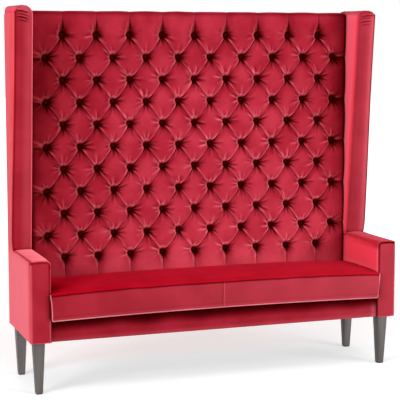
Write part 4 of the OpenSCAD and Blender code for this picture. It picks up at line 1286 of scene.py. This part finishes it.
foot = rings[2:-2, 0] - (0, 0.4 * mm, 0)
bow_in = 3 * mm * np.sin(np.linspace(0.15, 1, 12) * math.pi)
front_line = rings[2, 1:13, 1] - 0.5 * mm
ends = []
for end, ring, way, bent in ((0, 2, -2 * mm, 1), (-1, -3, 2 * mm, -0.6)):
    end_x = np.linspace(foot[end, 0], rings[ring, band_n - 1, 0], 12) + way + bent * bow_in
    end_z = np.linspace(foot[end, 2] + 5 * mm, seam_z[ring, 0], 12)
    up_end = np.stack([end_x, front_line, end_z], -1)
    ends.append(np.concatenate([up_end, up_end[-1:] + (0, 5 * mm, 9 * mm)]))
piping_path = np.concatenate([ends[0][::-1], foot, ends[1]])
piping = tube("velvet_cushion_piping", piping_path)
finish(piping, sheen_piping_velvet, ["cushion_piping"])

# %% [markdown]
# ## Front rail and outer back
#
# Under the cushion the front rail is a long low panel, set back behind the arms, with soft
# upright dimples where the cloth is tacked below. The outer back is one large plain panel
# pulled tight, with small corners behind the wings.

# %% Front rail
rail_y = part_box("front_rail_cover")[0].y + 1 * mm
rail_x = inner_x + 6 * mm
rail_cols = lines(-rail_x, rail_x, 9 * mm, 4 * mm)
rail_rows = lines(body_z, deck_z - 1 * mm, 7 * mm, 6 * mm)


def rail_folds(flat):
    slow = drift(flat * (1, 0.25), 60 * mm, 71)
    low = fall(flat[:, 1], body_z, body_z + 75 * mm)
    return 1.1 * mm * slow * (0.35 + 0.65 * low)


def rail_paint(flat, gap):
    x, z = flat.T
    ragged = 5 * mm * drift(flat * (1, 0), 0.22, 74)
    # Painted shadow of the cushion over the rail's top, with a ragged edge, and painted shade
    # darker to the left; painted highlight low down, towards the right and at the right end.
    under = rise(z + ragged, deck_z - 72 * mm, deck_z - 14 * mm)
    share = across(x)
    low = fall(z, body_z, body_z + 26 * mm)
    pale = (0.13 * low + 0.08 * rise(share, 0.7, 1.0)) * (1 - under)
    pale += 0.30 * rise(x, arm_in - 32 * mm, arm_in - 6 * mm) * (1 - 0.7 * under)
    dark = 0.70 * under**1.2 + 0.04 + 0.07 * (1 - share) ** 1.5
    return {"hollow": np.clip(dark, 0, 1), "lit": pale}


rail = panel(
    "velvet_front_rail", *flat_grid(rail_cols, rail_rows),
    lambda x, z, out: np.stack([x, rail_y - out, z], -1),
    thickness=9 * mm, edge_r=4 * mm, puff=3 * mm, seed=70, hem=(9 * mm, 0.5 * mm),
    folds=rail_folds, paint=rail_paint,
)
finish(rail, shaded_front_velvet, ["front_rail_cover"])

# %% Outer back
back_low, back_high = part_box("outer_back_cover")
corner_r = 24 * mm
right_cols = [lines(0, inner_x, 22 * mm, 4 * mm)[:-1], lines(inner_x, half_w, 14 * mm, corner_r)]
right_cols = np.concatenate(right_cols)
back_cols = np.concatenate([-right_cols[:0:-1], right_cols])
from_side = np.maximum(half_w - np.abs(back_cols), 0.001 * corner_r)
tops = np.where(np.abs(back_cols) < inner_x - 2 * mm, back_high.z, wing_seam_z + 8 * mm)
tops -= round_off(from_side, corner_r)
share_rows = lines(0, 1, 0.016, 0.006)
flat = [[x, body_z + s * (top - body_z)] for s in share_rows for x, top in zip(back_cols, tops)]
outer_back = panel(
    "velvet_outer_back", np.array(flat), grid_quads(len(share_rows), len(back_cols)),
    lambda x, z, out: np.stack([x, back_low.y + 2.4 * mm + out, z], -1),
    thickness=2.2 * mm, edge_r=2.4 * mm, puff=2.5 * mm, seed=80, hem=(8 * mm, 0.4 * mm),
)
finish(outer_back, lit_side_velvet, ["outer_back_cover"])

# %% [markdown]
# ## Dust cover
#
# Black cloth is stapled under the seat to hide the springs. It is a flat sheet with its
# raw edge turned in, and it sags a very little between the rails.

# %% Dust cover and its cloth
black_cloth, tree, shader, coords = new_material("black_cloth")
threads = [
    add_node(
        tree, "TexWave", {"Scale": 260, "Distortion": 0.6, "Vector": coords}, bands_direction=axis
    ).outputs["Fac"]
    for axis in "XY"
]
weave = add_node(tree, "Math", dict(enumerate(threads)), operation="MAXIMUM").outputs["Value"]
cloth_tone = ramp(tree, weave, [(0.2, (0.008, 0.008, 0.009)), (0.9, (0.03, 0.03, 0.032))])
wire(tree, shader, {"Base Color": cloth_tone, "Roughness": 0.9})
bumps(tree, shader, (weave, 0.4, 0.0005))

dust_low, dust_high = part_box("dust_cover")
dust_cols = lines(dust_low.x + 2 * mm, dust_high.x - 2 * mm, 30 * mm, 10 * mm)
dust_rows = lines(dust_low.y + 2 * mm, dust_high.y - 2 * mm, 25 * mm, 10 * mm)
dust = panel(
    "dust_cover_cloth", *flat_grid(dust_cols, dust_rows),
    lambda x, y, out: np.stack([x, y, dust_high.z - 1.0 * mm - out], -1),
    thickness=0.9 * mm, edge_r=0.5 * mm, puff=1.2 * mm, seed=90, hem=(12 * mm, 0.3 * mm),
)
finish(dust, black_cloth, ["dust_cover"])

# %% [markdown]
# ## Wood
#
# The legs are stained very dark and finished in satin, with the grain running down. The
# hidden frame is plain pale hardwood. Both come from one maker: a noise stretched along
# the grain colours the wood, and a finer one gives the pores in the bump.

# %% Wood materials
def wood(name, dark, light, roughness, along):
    material, tree, shader, coords = new_material(name)
    stretch = [14.0, 14.0, 14.0]
    stretch["XYZ".index(along)] = 0.8
    wide = noise(tree, coords, 2.2, 4.0, stretch)
    pores = noise(tree, coords, 12.0, 3.0, [k * 1.5 for k in stretch])
    polish = {"To Min": roughness - 0.06, "To Max": roughness + 0.10, "Value": pores}
    colour = ramp(tree, wide, [(0.35, dark), (0.65, light)])
    rough = add_node(tree, "MapRange", polish).outputs["Result"]
    wire(tree, shader, {"Base Color": colour, "Roughness": rough})
    bumps(tree, shader, (pores, 0.25, 0.0006), (wide, 0.15, 0.0010))
    return material


leg_wood = wood("dark_stained_wood", (0.048, 0.041, 0.038), (0.110, 0.097, 0.091), 0.36, "Z")
# The rear legs take a lighter copy of the same wood, as painted light that makes up for the
# settee's shadow over them.
lit_rear_wood = wood("dark_stained_wood_rear", (0.080, 0.070, 0.067), (0.170, 0.152, 0.145), 0.36, "Z")
print("leg wood ready")

# %% [markdown]
# ## Legs
#
# Each leg is a square block that tapers on all four sides down to a small foot. It starts
# as a cube, its lower face is made smaller, and all edges are eased with a small bevel,
# because a sharp edge never catches the light as a real one does.

# %% Four legs, shaped from cubes
foot_share = 31 / 52


def make_leg(name, low, high):
    middle_x, middle_y, middle_z = (low + high) / 2
    bpy.ops.object.select_all(action="DESELECT")
    bpy.ops.mesh.primitive_cube_add(size=1, location=(middle_x, middle_y, middle_z))
    leg = bpy.context.active_object
    leg.name = name
    leg.scale = high - low
    apply_place(leg)
    bpy.ops.object.mode_set(mode="EDIT")
    select_faces(leg, lambda f: f.normal.z < -0.9)
    foot = (middle_x, middle_y, low.z)
    bpy.ops.transform.resize(value=(foot_share, foot_share, 1), center_override=foot)
    bpy.ops.mesh.select_all(action="SELECT")
    bpy.ops.mesh.bevel(offset=1.6 * mm, segments=3, affect="EDGES")
    bpy.ops.object.mode_set(mode="OBJECT")
    smooth(leg, 40)
    return leg


for end, material in (("front", leg_wood), ("rear", lit_rear_wood)):
    for side, _ in both_sides:
        node = f"leg_{end}_{side}"
        leg = make_leg(f"wooden_{node}", *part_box(node))
        finish(leg, material, [node])

# %% [markdown]
# ## Finishes of the pieces inside
#
# Nothing inside the settee shows, but each CAD node that stays visible to the renderer
# still gets the look of its own material: sawn hardwood, pressed board, foam, felt,
# twine, plated steel and black plastic.

# %% Speckled and metal materials
def speckled(name, dark, light, scale, roughness, bump=0.3, metallic=0.0):
    material, tree, shader, coords = new_material(name)
    specks = noise(tree, coords, scale, 4.0)
    colour = ramp(tree, specks, [(0.4, dark), (0.6, light)])
    wire(tree, shader, {"Base Color": colour, "Roughness": roughness, "Metallic": metallic})
    bumps(tree, shader, (specks, bump, 0.0006))
    return material


finishes = {
    "frame_hardwood": wood("frame_hardwood", (0.42, 0.27, 0.14), (0.62, 0.43, 0.26), 0.62, "X"),
    "black_cloth": black_cloth,
    "dark_stained_wood": leg_wood,
    "red_velvet": shaded_front_velvet,
}
for name, *look in (
    ("hardboard", (0.19, 0.10, 0.05), (0.28, 0.16, 0.08), 420, 0.75),
    ("foam", (0.62, 0.56, 0.38), (0.78, 0.72, 0.52), 700, 0.95, 0.6),
    ("grey_felt", (0.22, 0.22, 0.22), (0.38, 0.38, 0.37), 500, 0.95, 0.5),
    ("twine", (0.52, 0.47, 0.36), (0.68, 0.62, 0.50), 900, 0.9, 0.5),
    ("spring_steel", (0.10, 0.10, 0.11), (0.20, 0.20, 0.21), 260, 0.38, 0.1, 1.0),
    ("zinc_steel", (0.50, 0.50, 0.50), (0.66, 0.66, 0.64), 240, 0.35, 0.1, 1.0),
    ("black_plastic", (0.010, 0.010, 0.010), (0.022, 0.022, 0.022), 600, 0.5, 0.2),
):
    finishes[name] = speckled(name, *look)
for subpart in frame["record"]["subparts"]:
    node = frame["nodes"][subpart["node"]]
    node.data.materials.clear()
    node.data.materials.append(finishes[subpart["material_slot"]])
print("finishes:", len(finishes))

# %% [markdown]
# ## Floor, light and background
#
# The photograph has a white ground and soft light. A large lamp stands to the left of the
# camera, a weaker one to its right, a small one hangs above, and a pale sky fills in. All
# are at a plain level, so the colours render about as they are written. The background is
# white because camera rays see a white sky. The floor is near white, glows a little to the
# camera, more so far away, and keeps the settee's shadow.

# %% Floor
bpy.ops.object.select_all(action="DESELECT")
bpy.ops.mesh.primitive_plane_add(size=60, location=(0, 0, 0))
floor = bpy.context.active_object
floor.name = "floor"
floor_material, tree, shader, coords = new_material("pale_floor")
spots = noise(tree, coords, 1.5, 2.0)
tone = ramp(tree, spots, [(0.3, (0.90, 0.90, 0.90)), (0.7, (0.93, 0.93, 0.93))])
distance = add_node(tree, "VectorMath", {0: coords}, operation="LENGTH").outputs["Value"]
values = {"From Min": 1.6, "From Max": 7.0, "To Min": 0.42, "To Max": 0.9, "Value": distance}
far_lift = add_node(tree, "MapRange", values, interpolation_type="SMOOTHSTEP").outputs["Result"]
to_camera = add_node(tree, "LightPath", {}).outputs["Is Camera Ray"]
glow = add_node(tree, "Math", {0: to_camera, 1: far_lift}, operation="MULTIPLY").outputs["Value"]
wire(tree, shader, {"Base Color": tone, "Roughness": 0.9, "Specular IOR Level": 0.1})
wire(tree, shader, {"Emission Color": (1, 1, 1, 1), "Emission Strength": glow})
floor.data.materials.append(floor_material)
print("floor size in m:", floor.dimensions.x)

# %% Sky and lamps
world = bpy.data.worlds.new("studio")
bpy.context.scene.world = world
world.use_nodes = True
tree = world.node_tree
rays_seen = add_node(tree, "LightPath", {}).outputs
seen = rays_seen["Is Camera Ray"]
for kind in ("Is Transmission Ray", "Is Glossy Ray"):
    values = {0: seen, 1: rays_seen[kind]}
    seen = add_node(tree, "Math", values, operation="MAXIMUM").outputs["Value"]
sky = add_node(tree, "MapRange", {"To Min": 0.42, "To Max": 1.0, "Value": seen}).outputs["Result"]
wire(tree, tree.nodes["Background"], {"Color": (1, 1, 1, 1), "Strength": sky})


def lamp(name, place, target, size, power):
    data = bpy.data.lights.new(name, "AREA")
    data.shape = "RECTANGLE"
    data.size, data.size_y = size
    data.energy = power
    piece = bpy.data.objects.new(name, data)
    piece.location = place
    way = Vector(target) - Vector(place)
    piece.rotation_euler = way.to_track_quat("-Z", "Y").to_euler()
    bpy.context.collection.objects.link(piece)


lamp("key_lamp", (-8.1, -5.2, 3.6), (0.0, 0.0, 0.9), (4.2, 4.2), 540)
lamp("fill_lamp", (5.5, -6.5, 1.9), (0.2, 0.0, 0.7), (4.2, 4.2), 400)
lamp("top_lamp", (0.0, -1.6, 4.2), (0.0, 0.0, 0.6), (3.4, 1.8), 45)
bpy.context.scene.view_settings.view_transform = "Standard"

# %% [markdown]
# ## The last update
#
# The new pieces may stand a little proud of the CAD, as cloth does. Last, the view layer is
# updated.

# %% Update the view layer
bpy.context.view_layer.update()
